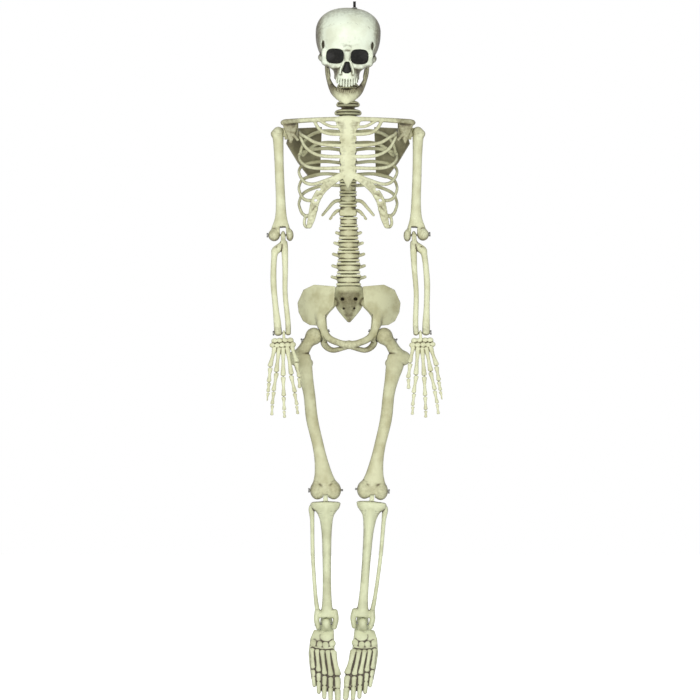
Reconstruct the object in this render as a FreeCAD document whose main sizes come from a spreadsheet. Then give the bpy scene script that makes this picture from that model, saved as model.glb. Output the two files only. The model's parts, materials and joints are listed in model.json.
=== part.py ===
import FreeCAD, Part
import math
import os
from FreeCAD import Matrix, Placement, Rotation, Vector

# Hanging skeleton figure: moulded bones that turn on plain screws.
# Millimetres and degrees. X runs to the figure's own left, the front faces -Y and Z is up.
# The origin is the centre of the hanging eye's bore. Bones are worked out on the body's midline
# and the whole figure is then shifted, because the eye sits a little to one side of the crown.

SIZES = {
    # hanging eye
    "eye_bore": 7.0, "eye_outer": 14.0, "eye_thickness": 6.0, "eye_stem": 5.0, "eye_offset": 14.4,
    "crown_drop": 5.8, "washer_outer": 12.0, "washer_thickness": 1.4, "eye_nut_outer": 10.0,
    "eye_nut_height": 4.0,
    # skull and jaw
    "skull_width": 144.6, "skull_length": 178.0, "dome_height": 52.5, "skull_under_height": 84.0,
    "skull_wall": 4.0, "skull_setback": 18.0, "skull_seam": 22.0, "head_lean": 1.8,
    "head_shift": 2.2,
    "cheek_width": 125.0, "muzzle_width": 54.0, "muzzle_reach": 83.0, "face_height": 175.0,
    "socket_width": 36.0, "socket_height": 29.0, "socket_spacing": 54.6, "socket_drop": 108.5,
    "socket_depth": 26.0, "liner_wall": 1.6, "liner_gap": 0.4, "nose_width": 21.0, "nose_height": 26.0,
    "nose_drop": 134.5, "tooth_width": 6.2, "tooth_height": 13.0,
    "jaw_width": 103.0, "jaw_pivot_drop": 122.0, "jaw_pivot_setback": 4.0, "chin_drop": 198.0,
    "chin_reach": 76.0, "jaw_height": 31.0, "jaw_thickness": 10.0,
    # neck
    "head_pivot_drop": 144.0, "head_pivot_setback": 14.0, "atlas_width": 28.0, "atlas_height": 24.0,
    "neck_width": 52.0, "neck_bottom_drop": 254.0, "neck_setback": 26.0,
    # trunk
    "clavicle_drop": 258.0, "clavicle_thickness": 9.5, "shoulder_tip_span": 292.0,
    "sternum_width": 35.0, "sternum_length": 150.0, "chest_reach": 66.0, "chest_width": 224.0,
    "chest_rear": 52.0, "chest_centre": -4.0, "rib_width": 8.4, "rib_thickness": 6.6,
    "rib_pitch": 24.4, "spine_width": 42.0, "spine_setback": 38.0, "waist_drop": 470.0,
    "scapula_thickness": 5.0, "scapula_inner": 58.7, "scapula_setback": 60.0, "scapula_slope": 27.0,
    "lumbar_top_width": 39.5, "lumbar_base_width": 57.0,
    "hipbone_drop": 626.0, "disc_gap": 0.5, "hip_shift": 2.2,
    # pelvis
    "pelvis_width": 235.0, "wing_height": 90.0, "wing_thickness": 15.0, "wing_turn": 36.0,
    "wing_setback": 7.0, "inlet_width": 108.0, "inlet_bar": 15.0, "lower_bar": 10.5, "pubis_drop": 756.0,
    "pubis_reach": 46.0, "sacrum_length": 84.0, "sacrum_width": 72.0,
    # arm
    "shoulder_span": 310.6, "shoulder_drop": 284.0, "shoulder_setback": 8.0,
    "knuckle_width": 10.0, "knuckle_diameter": 32.0, "lobe_diameter": 25.0, "lobe_depth": 25.0,
    "upper_arm_length": 236.0, "humerus_width": 21.5, "elbow_width": 56.0, "elbow_diameter": 27.0,
    "forearm_length": 222.0, "radius_width": 13.5, "ulna_width": 12.0, "arm_swing": 12.0,
    "arm_lean_left": 2.3, "arm_lean_right": 2.9, "forearm_lean_left": -3.4,
    "forearm_lean_right": 0.65, "elbow_tongue": 10.0, "elbow_offset": 5.0, "wrist_tongue": 6.0,
    "hand_length": 192.0, "hand_width": 60.0, "finger_width": 12.0, "palm_thickness": 15.0,
    # leg
    "hip_span": 156.0, "hip_drop": 738.0, "hip_setback": -4.0, "hip_ball": 38.0, "hip_tilt": 20.0,
    "thigh_length": 342.5, "knee_span": 104.4, "femur_width": 24.5, "knee_width": 70.0,
    "knee_diameter": 42.0, "knee_tongue": 10.0, "shin_length": 297.0, "plateau_drop": 24.5,
    "plateau_width": 69.0, "tibia_width": 20.5, "fibula_width": 9.0, "shin_lean_left": 4.3,
    "shin_lean_right": 0.3, "ankle_width": 45.0, "ankle_tongue": 20.0, "foot_length": 160.0,
    "foot_width": 72.0, "foot_drop": 65.0, "heel_reach": 34.0, "toe_width": 11.5,
    # screws and fits
    "pin_diameter": 5.0, "hip_pin_diameter": 6.5, "screw_head": 10.0, "screw_head_height": 3.4,
    "slot_width": 1.4, "slot_depth": 1.4, "hinge_gap": 0.5, "running_clearance": 0.08,
    "seat_clearance": 0.03, "joint_clearance": 1.0, "axle_diameter": 6.5,
}

SIDES = {"left": 1, "right": -1}
ACROSS = Vector(1, 0, 0)
BACKWARD = Vector(0, 1, 0)
UP = Vector(0, 0, 1)
HERE = Vector(0, 0, 0)
RING_POINTS = 8   # points that each oval ring is drawn through
EGG_LEVELS = 8    # steps from the bottom of an egg to its top
LUMBAR_SCREW_LENGTH = 36.0

doc = FreeCAD.newDocument("skeleton")


def make_sheet():
    """The sheet of driving dimensions, one alias for each size."""
    table = doc.addObject("Spreadsheet::Sheet", "Sizes")
    for row, (alias, value) in enumerate(SIZES.items(), start=1):
        table.set("A%d" % row, alias)
        table.set("B%d" % row, str(value))
        table.setAlias("B%d" % row, alias)
    doc.recompute()
    return table


sheet = make_sheet()


def size(alias):
    """One driving dimension, read back from the sheet."""
    return float(sheet.get(alias))


def bind(thing, **links):
    """Tie properties of an object to sizes of the sheet."""
    for name, expression in links.items():
        thing.setExpression(name, expression)


# ---------------------------------------------------------------- shape helpers

def oval(centre, along, across, width, depth):
    """An oval ring: width lies along 'across', and the ring's plane is square to 'along'."""
    along = Vector(along).normalize()
    across = (across - along * across.dot(along)).normalize()
    third = along.cross(across)
    points = []
    for number in range(RING_POINTS):
        turn = 2 * math.pi * number / RING_POINTS
        points.append(centre + across * (width / 2 * math.cos(turn))
                      + third * (depth / 2 * math.sin(turn)))
    ring = Part.BSplineCurve()
    ring.interpolate(points, PeriodicFlag=True)
    return Part.Wire(ring.toShape())


def smoothed(rings, steps):
    """More rings between the given ones, on a smooth line through them."""
    full = []
    last = len(rings) - 1
    for index in range(last):
        before, start = rings[max(index - 1, 0)], rings[index]
        end, after = rings[index + 1], rings[min(index + 2, last)]
        for step in range(steps):
            share = step / steps
            full.append(tuple(
                0.5 * (2 * b + (c - a) * share + (2 * a - 5 * b + 4 * c - d) * share ** 2
                       + (3 * b - a - 3 * c + d) * share ** 3)
                for a, b, c, d in zip(before, start, end, after)))
    return full + [tuple(rings[last])]


def bone(rings, across=ACROSS, steps=2):
    """A closed bone through oval rings, each (x, y, z, width, depth)."""
    rings = smoothed(rings, steps)
    centres = [Vector(*ring[:3]) for ring in rings]
    wires = []
    for index, ring in enumerate(rings):
        before = centres[max(index - 1, 0)]
        after = centres[min(index + 1, len(rings) - 1)]
        along = (after - before).normalize()
        across = (across - along * across.dot(along)).normalize()
        wires.append(oval(centres[index], along, across, ring[3], ring[4]))
    return Part.makeLoft(wires, True, True)


def stack(rings, along=UP):
    """A turned column: flat-sided steps through level ovals, each (x, y, z, width, depth)."""
    wires = [oval(Vector(*ring[:3]), along, ACROSS, ring[3], ring[4]) for ring in rings]
    return Part.makeLoft(wires, True, True)


def bar(points, width, thickness, across=UP):
    """A bar of even section along a smooth curve through the points."""
    return bone([(*point, width, thickness) for point in points], across)


def ball(centre, radius):
    return Part.makeSphere(radius, Vector(*centre))


def egg(centre, across, depth, height, low=-80, high=80):
    """An egg through level ovals, from its lowest to its highest latitude; sizes are half widths."""
    rings = []
    for number in range(EGG_LEVELS + 1):
        latitude = math.radians(low + (high - low) * number / EGG_LEVELS)
        spread = math.cos(latitude)
        rings.append((centre[0], centre[1], centre[2] + height * math.sin(latitude),
                      2 * across * spread, 2 * depth * spread))
    return stack(rings)


def drum(centre, length, diameter, edge):
    """A short round drum across the body, with rounded edges."""
    body = rod(centre, ACROSS, length, diameter)
    rims = [line for line in body.Edges if isinstance(line.Curve, Part.Circle)]
    return body.makeFillet(edge, rims)


def rod(centre, direction, length, diameter):
    """A round rod centred on a point."""
    direction = Vector(direction).normalize()
    start = Vector(*centre) - direction * (length / 2)
    return Part.makeCylinder(diameter / 2, length, start, direction)


def block(low, high):
    """A plain block between two corners."""
    low, high = Vector(*low), Vector(*high)
    span = high - low
    return Part.makeBox(span.x, span.y, span.z, low)


def plate(points, thickness, direction):
    """A flat plate: a closed outline pushed out by its thickness."""
    outline = [Vector(*point) for point in points]
    face = Part.Face(Part.makePolygon(outline + outline[:1]))
    return face.extrude(Vector(direction).normalize() * thickness)


def join(shapes):
    """One solid from parts that overlap."""
    return shapes[0].multiFuse(list(shapes[1:]))


def cut(shape, tools):
    """A shape with the tools taken away."""
    return shape.cut(list(tools))


def largest(shape):
    """The biggest solid of a shape, without the crumbs that a cut can leave."""
    return max(shape.Solids, key=lambda solid: solid.Volume)


def mirrored(shape):
    return shape.mirror(HERE, ACROSS)


def both_sides(shapes):
    return list(shapes) + [mirrored(shape) for shape in shapes]


# ---------------------------------------------------------------- placing pieces

figure = Placement(Vector(-size("eye_offset"), 0, 0), Rotation())
piece_labels = []


def frame_at(point, lean=0, swing=0):
    """A joint's frame: leant in the front view, then swung forward about X."""
    turn = Rotation(ACROSS, -swing).multiply(Rotation(BACKWARD, lean))
    return figure.multiply(Placement(Vector(*point), turn))


def add_piece(label, shape, place=figure):
    """A moulded piece with its shape and place."""
    feature = doc.addObject("Part::Feature", label)
    feature.Label = label
    feature.Shape = shape
    feature.Placement = place.multiply(shape.Placement)
    piece_labels.append(label)
    return feature


def add_turned(label, spans, place):
    """Plain turned steps on one axis, each (radius size, length size, start)."""
    body = doc.addObject("PartDesign::Body", label)
    body.Label = label
    for number, (radius, length, start) in enumerate(spans):
        step = body.newObject("PartDesign::AdditiveCylinder", "%s_step_%d" % (label, number))
        bind(step, Radius=radius, Height=length)
        step.setExpression("Placement.Base.z", start)
    body.Placement = place
    return body


def add_screw(label, length, diameter, places):
    """Round-headed screws with a slot: the head's seat is at each place, the shank runs along +Z."""
    screws = []
    for number, place in enumerate(places):
        name = label if len(places) == 1 else "%s_%d" % (label, number + 1)
        body = add_turned(name, [
            ("Sizes.%s / 2" % diameter, length, "0 mm"),
            ("Sizes.screw_head / 2", "Sizes.screw_head_height", "-Sizes.screw_head_height"),
        ], place)
        slot = body.newObject("PartDesign::SubtractiveBox", name + "_slot")
        bind(slot, Length="Sizes.screw_head * 1.2", Width="Sizes.slot_width",
             Height="Sizes.slot_depth")
        slot.setExpression("Placement.Base.x", "-Sizes.screw_head * 0.6")
        slot.setExpression("Placement.Base.y", "-Sizes.slot_width / 2")
        slot.setExpression("Placement.Base.z", "-Sizes.screw_head_height")
        screws.append(body)
    if len(screws) == 1:
        piece_labels.append(label)
        return screws[0]
    group = doc.addObject("Part::Compound", label)
    group.Label = label
    group.Links = screws
    piece_labels.append(label)
    return group


def pointing(point, direction):
    """A place whose +Z runs along a direction, from a point."""
    return Placement(Vector(*point), Rotation(UP, Vector(*direction)))


def side_shape(side, shape):
    return shape if SIDES[side] > 0 else mirrored(shape)


# ---------------------------------------------------------------- joints of the figure

def head_frame():
    """The skull's own frame, at the pin that it nods on."""
    return frame_at((-size("head_shift"), size("head_pivot_setback"), -size("head_pivot_drop")),
                    size("head_lean"))


def shoulder_point(side):
    return Vector(SIDES[side] * size("shoulder_span") / 2, size("shoulder_setback"),
                  -size("shoulder_drop"))


def upper_arm_frame(side):
    lean = SIDES[side] * size("arm_lean_" + side)
    return frame_at(shoulder_point(side), lean, size("arm_swing"))


def forearm_frame(side):
    elbow = upper_arm_frame(side).multVec(Vector(0, 0, -size("upper_arm_length")))
    lean = SIDES[side] * size("forearm_lean_" + side)
    return frame_at(figure.inverse().multVec(elbow), lean, size("arm_swing"))


def hand_frame(side):
    wrist = forearm_frame(side).multVec(Vector(0, 0, -size("forearm_length")))
    lean = SIDES[side] * size("forearm_lean_" + side)
    return frame_at(figure.inverse().multVec(wrist), lean, size("arm_swing"))


def hip_point(side):
    return Vector(size("hip_shift") + SIDES[side] * size("hip_span") / 2, size("hip_setback"),
                  -size("hip_drop"))


def hip_frame(side):
    return frame_at(hip_point(side))


def hip_axis(side):
    """Along the hip bolt, from the femur up into the pelvis."""
    tilt = math.radians(size("hip_tilt"))
    return Vector(-SIDES[side] * math.cos(tilt), 0, math.sin(tilt))


def knee_offset(side):
    """From the hip to the knee."""
    inward = (size("hip_span") - size("knee_span")) / 2
    return Vector(-SIDES[side] * inward, 0, -size("thigh_length"))


def shin_frame(side):
    knee = hip_point(side) + knee_offset(side)
    return frame_at(knee, SIDES[side] * size("shin_lean_" + side))


def foot_frame(side):
    """The foot's frame at the ankle, its toes hanging down."""
    hang = Placement(Vector(0, 0, -size("shin_length")), Rotation(ACROSS, size("foot_drop")))
    return shin_frame(side).multiply(hang)


# ---------------------------------------------------------------- head

def below_crown(drop):
    """Height in the skull's frame of a place so far below the crown."""
    return size("head_pivot_drop") - size("crown_drop") - drop


def hanging_eye():
    """The black moulded eye, its stem going down through the crown."""
    eye = doc.addObject("PartDesign::Body", "hanging_eye")
    eye.Label = "hanging_eye"
    disc = eye.newObject("PartDesign::AdditiveCylinder", "eye_disc")
    bind(disc, Radius="Sizes.eye_outer / 2", Height="Sizes.eye_thickness")
    disc.Placement = Placement(Vector(-size("eye_thickness") / 2, 0, 0), Rotation(BACKWARD, 90))
    disc.setExpression("Placement.Base.x", "-Sizes.eye_thickness / 2")
    stem = eye.newObject("PartDesign::AdditiveCylinder", "eye_stem")
    bind(stem, Radius="Sizes.eye_stem / 2",
         Height="Sizes.eye_outer + Sizes.skull_wall + Sizes.eye_nut_height - Sizes.eye_bore / 2 - 0.5")
    stem.setExpression(
        "Placement.Base.z",
        "-Sizes.eye_outer - Sizes.skull_wall - Sizes.eye_nut_height")
    bore = eye.newObject("PartDesign::SubtractiveCylinder", "eye_bore")
    bind(bore, Radius="Sizes.eye_bore / 2", Height="Sizes.eye_thickness * 2")
    bore.Placement = Placement(HERE, Rotation(BACKWARD, 90))
    bore.setExpression("Placement.Base.x", "-Sizes.eye_thickness")
    piece_labels.append("hanging_eye")


def ringed(label, outer, inner_diameter, height, place):
    """A washer or nut: a turned ring."""
    ring = Part.makeCylinder(outer / 2, height)
    hole = Part.makeCylinder(inner_diameter / 2, height)
    return add_piece(label, ring.cut(hole), place)


def eye_hardware():
    """The washer under the eye and the nut inside the crown."""
    stem_hole = size("eye_stem") + 2 * size("seat_clearance")
    washer_level = -size("eye_outer") / 2 - size("washer_thickness")
    ringed("hanging_eye_washer", size("washer_outer"), stem_hole, size("washer_thickness"),
           Placement(Vector(0, 0, washer_level), Rotation()))
    ringed("hanging_eye_nut", size("eye_nut_outer"), stem_hole, size("eye_nut_height"),
           Placement(Vector(0, 0, crown_inside() - size("eye_nut_height")), Rotation()))


def crown_inside():
    """Height of the flat pad inside the crown that the eye's nut pulls up against."""
    return -size("eye_outer") / 2 - size("washer_thickness") - size("skull_wall")


def eye_in_head():
    """The eye's centre in the skull's frame."""
    return head_frame().inverse().multVec(HERE)


def cranium(inset):
    """The braincase: a flat dome over a deeper egg, shrunk by an inset for the hollow inside."""
    centre = (0, size("skull_setback") - size("head_pivot_setback"), below_crown(size("dome_height")))
    width, length = size("skull_width") / 2 - inset, size("skull_length") / 2 - inset
    dome = size("dome_height") - inset
    under = size("skull_under_height") - 2 * inset
    rings = []
    for latitude in (-76, -60, -45, -30, -15, 0, 14, 28, 42, 56, 68, 78, 84):
        height = dome if latitude > 0 else under
        spread = math.cos(math.radians(latitude))
        rings.append((0, centre[1], centre[2] + height * math.sin(math.radians(latitude)),
                      2 * width * spread, 2 * length * spread))
    return stack(rings)


def face_mass():
    """Brow, cheeks and upper jaw, tapering down to the teeth."""
    reach = size("muzzle_reach") + size("head_pivot_setback")
    cheek, muzzle = size("cheek_width"), size("muzzle_width")
    levels = [
        # drop below the crown as a share of the face, width, depth of the section, front
        (0.42, cheek * 0.92, reach * 0.95, reach * 0.88),
        (0.55, cheek * 0.98, reach * 0.95, reach * 0.92),
        (0.66, cheek * 0.92, reach * 0.90, reach * 0.95),
        (0.745, cheek * 0.72, reach * 0.80, reach * 0.96),
        (0.80, muzzle * 1.15, reach * 0.64, reach * 0.97),
        (0.90, muzzle, reach * 0.56, reach),
        (1.0, muzzle * 0.85, reach * 0.50, reach * 0.98),
    ]
    rings = [(0, depth / 2 - front, below_crown(size("face_height") * drop), width, depth)
             for drop, width, depth, front in levels]
    return bone(rings)


def cheek_arch():
    """The arch from the cheek back to the ear."""
    half = size("cheek_width") / 2
    level = below_crown(size("socket_drop"))
    points = [(half * 0.72, -66, level - 16), (half * 0.93, -48, level - 12),
              (half * 0.99, -22, level - 4), (half * 0.99, 4, level + 2)]
    return bar(points, size("rib_width") * 1.5, size("rib_width") * 1.1)


def pit(x, level, width, height, front, deep):
    """A rounded pit that opens towards the front."""
    return bone([(x, front - 12, level, width, height), (x, front + deep * 0.3, level, width, height),
                 (x, front + deep * 0.75, level, width * 0.8, height * 0.8),
                 (x, front + deep, level, width * 0.45, height * 0.45)], ACROSS, 1)


def face_front():
    """Depth of the front of the face in the skull's frame."""
    return -size("muzzle_reach") - size("head_pivot_setback")


def sockets(inset):
    """The two eye pits, shrunk by an inset for their liners."""
    level = below_crown(size("socket_drop"))
    return [pit(side * size("socket_spacing") / 2, level, size("socket_width") - 2 * inset,
                size("socket_height") - 2 * inset, face_front() + 2, size("socket_depth") + 4 - inset)
            for side in SIDES.values()]


def nose_pit(inset):
    return pit(0, below_crown(size("nose_drop")), size("nose_width") - 2 * inset,
               size("nose_height") - 2 * inset, face_front(), size("socket_depth") - 6 - inset)


def tooth_row(level, height, reach, spread):
    """Front teeth on an arc, each a small round peg."""
    teeth = []
    for place in (-3.5, -2.5, -1.5, -0.5, 0.5, 1.5, 2.5, 3.5):
        angle = math.radians(place * spread)
        radius = size("muzzle_width") * 0.42
        base = Vector(radius * math.sin(angle), reach + radius * (1 - math.cos(angle)),
                      level - height / 2)
        teeth.append(Part.makeCone(size("tooth_width") * 0.42, size("tooth_width") * 0.54, height, base))
    return teeth


def jaw_pivot():
    """The jaw's hinge in the skull's frame."""
    return Vector(0, size("jaw_pivot_setback") - size("head_pivot_setback"),
                  below_crown(size("jaw_pivot_drop")))


def neck_lugs():
    """Two lugs under the skull that hold the nodding pin."""
    inner = size("atlas_width") / 2 + size("hinge_gap")
    lugs = []
    for side in SIDES.values():
        low_x, high_x = sorted((side * inner, side * (inner + 9)))
        lugs.append(block((low_x, -13, -11), (high_x, 13, 34)))
    return lugs


def jaw_hinge_pads():
    """Pads inside the ears that the jaw is screwed to."""
    pivot = jaw_pivot()
    inner = size("jaw_width") / 2 - size("jaw_thickness") - size("hinge_gap")
    pads = []
    for side in SIDES.values():
        pads.append(rod((side * (inner - 9), pivot.y, pivot.z), ACROSS, 18, 20))
        pads.append(block((side * inner - (18 if side > 0 else 0), pivot.y - 9, pivot.z),
                          (side * inner + (0 if side > 0 else 18), pivot.y + 9, pivot.z + 18)))
    return pads


def jaw_room():
    """Room beside the braincase for the ends of the jaw to turn in."""
    pivot = jaw_pivot()
    inner = size("jaw_width") / 2 - size("jaw_thickness") - size("hinge_gap")
    room = size("jaw_thickness") + 2 * size("hinge_gap") + 8
    return [rod((side * (inner + room / 2), pivot.y, pivot.z), ACROSS, room, 30)
            for side in SIDES.values()]


def skull_halves():
    """The moulded head in a front and a rear shell, meeting on an upright seam."""
    pivot = jaw_pivot()
    hollow = cranium(size("skull_wall"))
    hollow = hollow.common(block((-90, -90, 22), (90, 120, 200)))
    outer = join([cranium(0), face_mass(), cheek_arch(), mirrored(cheek_arch())]
                 + neck_lugs() + jaw_hinge_pads())
    pin = size("pin_diameter") + 2 * size("seat_clearance")
    eye = eye_in_head()
    upright = head_frame().inverse().Rotation.multVec(UP)
    stem_top = eye + upright * crown_inside()
    pad = Part.makeCylinder(size("eye_nut_outer"), size("skull_wall") + 2, stem_top, upright)
    pad = pad.common(cranium(0.5))
    flat = Part.makeCylinder(size("washer_outer") / 2 + 0.3, 20,
                             eye + upright * (-size("eye_outer") / 2 - size("washer_thickness")),
                             upright)
    hole = Part.makeCylinder(size("eye_stem") / 2 + size("seat_clearance"), 60,
                             eye - upright * 50, upright)
    nut_room = Part.makeCylinder(size("eye_nut_outer") / 2 + 3, 20, stem_top - upright * 20, upright)
    head = cut(outer, [hollow])
    head = join([head, pad])
    head = cut(head, sockets(0) + [nose_pit(0), flat, hole, nut_room,
                                   rod((0, 0, 0), ACROSS, 80, pin),
                                   rod((0, 0, 0), ACROSS, size("atlas_width") + 2 * size("hinge_gap"),
                                       size("atlas_height") + 10),
                                   rod(pivot, ACROSS, size("jaw_width") * 2, pin)] + jaw_room())
    teeth = tooth_row(below_crown(size("face_height") - 5), size("tooth_height"),
                      face_front() + 3, 14)
    head = join([head] + teeth)
    seam = size("skull_seam") - size("head_pivot_setback")
    front = largest(head.common(block((-200, -200, -200), (200, seam, 200))))
    rear = largest(head.common(block((-200, seam, -200), (200, 200, 200))))
    add_piece("skull_front", front, head_frame())
    add_piece("skull_rear", rear, head_frame())


def liners():
    """The black cups in the eye pits and the nose."""
    wall, gap = size("liner_wall"), size("liner_gap")
    behind = block((-90, face_front() + 12, -90), (90, 90, 90))
    cups = []
    for outer_pit, inner_pit in zip(sockets(gap), sockets(wall)):
        inner_pit.translate(Vector(0, -wall, 0))
        cups.append(largest(outer_pit.cut(inner_pit).common(behind)))
    add_piece("eye_socket_liners", Part.makeCompound(cups), head_frame())
    inner_nose = nose_pit(wall)
    inner_nose.translate(Vector(0, -wall, 0))
    add_piece("nose_liner", largest(nose_pit(gap).cut(inner_nose).common(behind)), head_frame())


def jaw():
    """The lower jaw, hung on two screws below the ears."""
    pivot = jaw_pivot()
    half = (size("jaw_width") - size("jaw_thickness")) / 2
    chin = -size("chin_reach") - size("head_pivot_setback") + size("jaw_thickness") / 2
    level = below_crown(size("chin_drop"))
    tall, thick = size("jaw_height"), size("jaw_thickness")
    left_half = [
        (half, pivot.y, pivot.z + 8, 16, thick),
        (half, pivot.y - 4, pivot.z - 14, 20, thick),
        (half - 4, pivot.y - 14, pivot.z - 38, 25, thick),
        (half - 9, pivot.y - 30, level + 17, 27, thick),
        (half - 17, pivot.y - 50, level + 5, tall * 0.86, thick * 1.05),
        (half - 30, chin + 5, level, tall, thick * 1.2),
    ]
    right_half = [(-x, y, z, width, depth) for x, y, z, width, depth in reversed(left_half)]
    middle = [(0, chin, level, tall, thick * 1.3)]
    body = bone(left_half + middle + right_half, BACKWARD)
    pin = size("pin_diameter") + 2 * size("running_clearance")
    teeth = tooth_row(level + tall / 2 - 1, size("tooth_height") * 0.6, chin - 2, 12)
    body = cut(join([body] + teeth), [rod(pivot, ACROSS, size("jaw_width") * 2, pin)])
    add_piece("jaw", largest(body), head_frame())


def jaw_screws():
    """One screw at each side, its head outside the jaw's ramus."""
    pivot = jaw_pivot()
    places = []
    for side in SIDES.values():
        seat = Vector(side * (size("jaw_width") / 2 + size("hinge_gap")), pivot.y, pivot.z)
        places.append(head_frame().multiply(pointing(seat, (-side, 0, 0))))
    add_screw("jaw_hinge_screws", "Sizes.jaw_thickness + 12", "pin_diameter", places)


# ---------------------------------------------------------------- neck

def atlas_block():
    """The knuckle between the skull's lugs: it nods on the pin and turns on the neck's screw."""
    width, height = size("atlas_width"), size("atlas_height")
    knuckle = rod((0, 0, 0), ACROSS, width, height - 2)
    foot = Part.makeCylinder(width / 2, height / 2, Vector(0, 0, -height / 2 - 2))
    pin = size("pin_diameter") + 2 * size("running_clearance")
    bore = size("axle_diameter") / 2 + size("seat_clearance")
    hole = Part.makeCylinder(bore, height, Vector(0, 0, -height - size("pin_diameter")))
    add_piece("atlas_block", cut(join([knuckle, foot]), [rod((0, 0, 0), ACROSS, width * 2, pin), hole]),
              head_frame())


def atlas_floor():
    """Height of the atlas block's underside in the skull's frame."""
    return -size("atlas_height") / 2 - 2


def neck_screws():
    """The pin that the skull nods on, and the upright screw that the neck turns on."""
    reach = size("atlas_width") / 2 + size("hinge_gap") + 9
    seat = head_frame().multiply(pointing((reach, 0, 0), (-1, 0, 0)))
    add_screw("nod_screw", "Sizes.atlas_width + 2 * Sizes.hinge_gap + 18", "pin_diameter", [seat])
    top = atlas_floor() - 12
    place = head_frame().multiply(pointing((0, 0, top), UP))
    add_screw("neck_turn_screw", "20", "axle_diameter", [place])


def neck_column():
    """Two and a half moulded vertebrae from the skull down to the shoulders."""
    top = -size("head_pivot_drop") + atlas_floor() - size("hinge_gap")
    bottom = -size("neck_bottom_drop")
    wide = size("neck_width")
    depth_top, depth_bottom = size("head_pivot_setback"), size("neck_setback")
    steps = [
        # share of the way down, share of the width
        (0.0, 0.62), (0.10, 0.74), (0.22, 0.76), (0.24, 0.64), (0.30, 0.64), (0.34, 0.80),
        (0.46, 0.86), (0.50, 0.70), (0.54, 0.70), (0.57, 0.86), (0.64, 0.91), (0.70, 0.84),
        (0.72, 0.74), (0.75, 0.88), (0.84, 1.04), (0.90, 0.98), (0.92, 0.86), (1.0, 0.90),
    ]
    rings = []
    for share, width in steps:
        level = top + (bottom - top) * share
        setback = depth_top + (depth_bottom - depth_top) * share
        rings.append((-size("head_shift") * (1 - share), setback, level, wide * width, wide * width * 0.94))
    column = stack(rings)
    shank = size("axle_diameter") / 2 + size("running_clearance")
    channel = size("screw_head") / 2 + size("hinge_gap")
    local = figure.inverse().multiply(head_frame())
    head_seat = atlas_floor() - 12 + size("running_clearance")
    tools = [Part.makeCylinder(shank, 60, Vector(0, 0, -60)),
             Part.makeCylinder(channel, 140, Vector(0, 0, head_seat - 140))]
    for tool in tools:
        tool.Placement = local.multiply(tool.Placement)
    add_piece("neck_column", largest(cut(column, tools)))


# ---------------------------------------------------------------- trunk

def chest_point(angle, level, grow=0.0):
    """A place on the chest's barrel: 0 is the front, 90 the left side and 180 the back."""
    radians = math.radians(angle)
    half = size("chest_width") / 2 - size("rib_thickness") / 2 + grow
    front = size("chest_reach") + size("chest_centre") + grow
    rear = size("chest_rear") - size("chest_centre") + grow
    depth = front if math.cos(radians) > 0 else rear
    return (half * math.sin(radians), size("chest_centre") - depth * math.cos(radians), level)


def rib_level(number):
    """Height where a rib meets the breastbone."""
    return -size("clavicle_drop") - 36 - size("rib_pitch") * (number - 2)


def rib(stations, scale=1.0):
    """A rib round the barrel: stations of (angle, height)."""
    points = [chest_point(angle, level) for angle, level in stations]
    return bar(points, size("rib_width") * scale, size("rib_thickness") * scale)


def full_ribs():
    """Ribs that go round the side to the spine; angles are counted from the front."""
    fifth, sixth = rib_level(5), rib_level(5.62)
    return [
        rib([(5, fifth), (30, fifth - 1), (50, fifth + 2), (68, fifth + 12), (84, fifth + 24),
             (104, fifth + 36), (130, fifth + 46), (155, fifth + 50), (176, fifth + 46)]),
        rib([(5, sixth + 3), (26, sixth - 12), (44, sixth - 20), (60, sixth - 16),
             (76, sixth - 2), (92, sixth + 14), (118, sixth + 28), (150, sixth + 36),
             (176, sixth + 32)]),
        rib([(34, sixth - 48), (48, sixth - 56), (64, sixth - 52), (78, sixth - 38),
             (92, sixth - 22), (116, sixth - 4), (148, sixth + 8), (176, sixth + 6)]),
        rib([(40, sixth - 76), (52, sixth - 90), (66, sixth - 86), (79, sixth - 72),
             (94, sixth - 56), (118, sixth - 34), (150, sixth - 18), (176, sixth - 18)]),
    ]


def upper_rear_ribs():
    """The two short ribs behind the collarbone, from the spine out to the side."""
    top = -size("clavicle_drop")
    fifth = rib_level(5)
    return [
        rib([(176, top - 22), (150, top - 20), (128, top - 32), (112, top - 52),
             (100, top - 76), (96, fifth + 34)]),
        rib([(176, top - 46), (150, top - 46), (130, top - 58), (114, top - 76),
             (103, fifth + 38)], 0.9),
    ]


def short_ribs():
    """The upper ribs in front, which run up into the collarbone and the shoulder plate."""
    second, third, fourth = rib_level(2), rib_level(3), rib_level(4)
    return [
        rib([(5, second), (22, second + 2), (33, second + 9), (40, second + 22),
             (43, second + 33)]),
        rib([(5, third), (26, third + 2), (42, third + 8), (58, third + 20), (72, third + 27),
             (80, third + 32)]),
        rib([(5, fourth), (26, fourth + 1), (42, fourth + 7), (58, fourth + 21),
             (70, fourth + 38), (80, fourth + 50)]),
        rib([(10, second + 17), (20, second + 18), (30, second + 26), (36, second + 34)], 0.8),
    ]


def margin():
    """The flat gristle edge that runs down from the breastbone and carries the lower ribs."""
    sixth = rib_level(5.62)
    wide, thin = size("rib_width"), size("rib_thickness")
    levels = [
        # angle, height, width share
        (5, sixth + 2, 1.3), (18, sixth - 14, 1.9), (32, sixth - 34, 2.3), (41, sixth - 56, 2.5),
        (45, sixth - 78, 2.0), (47, sixth - 96, 1.8), (52, sixth - 116, 1.2),
    ]
    rings = [(*chest_point(angle, level), wide * share, thin) for angle, level, share in levels]
    lower = bone(rings, ACROSS)
    hook = rib([(50, sixth - 112), (58, sixth - 114), (63, sixth - 106), (60, sixth - 92),
                (52, sixth - 88)], 0.9)
    return [lower, hook]


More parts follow.
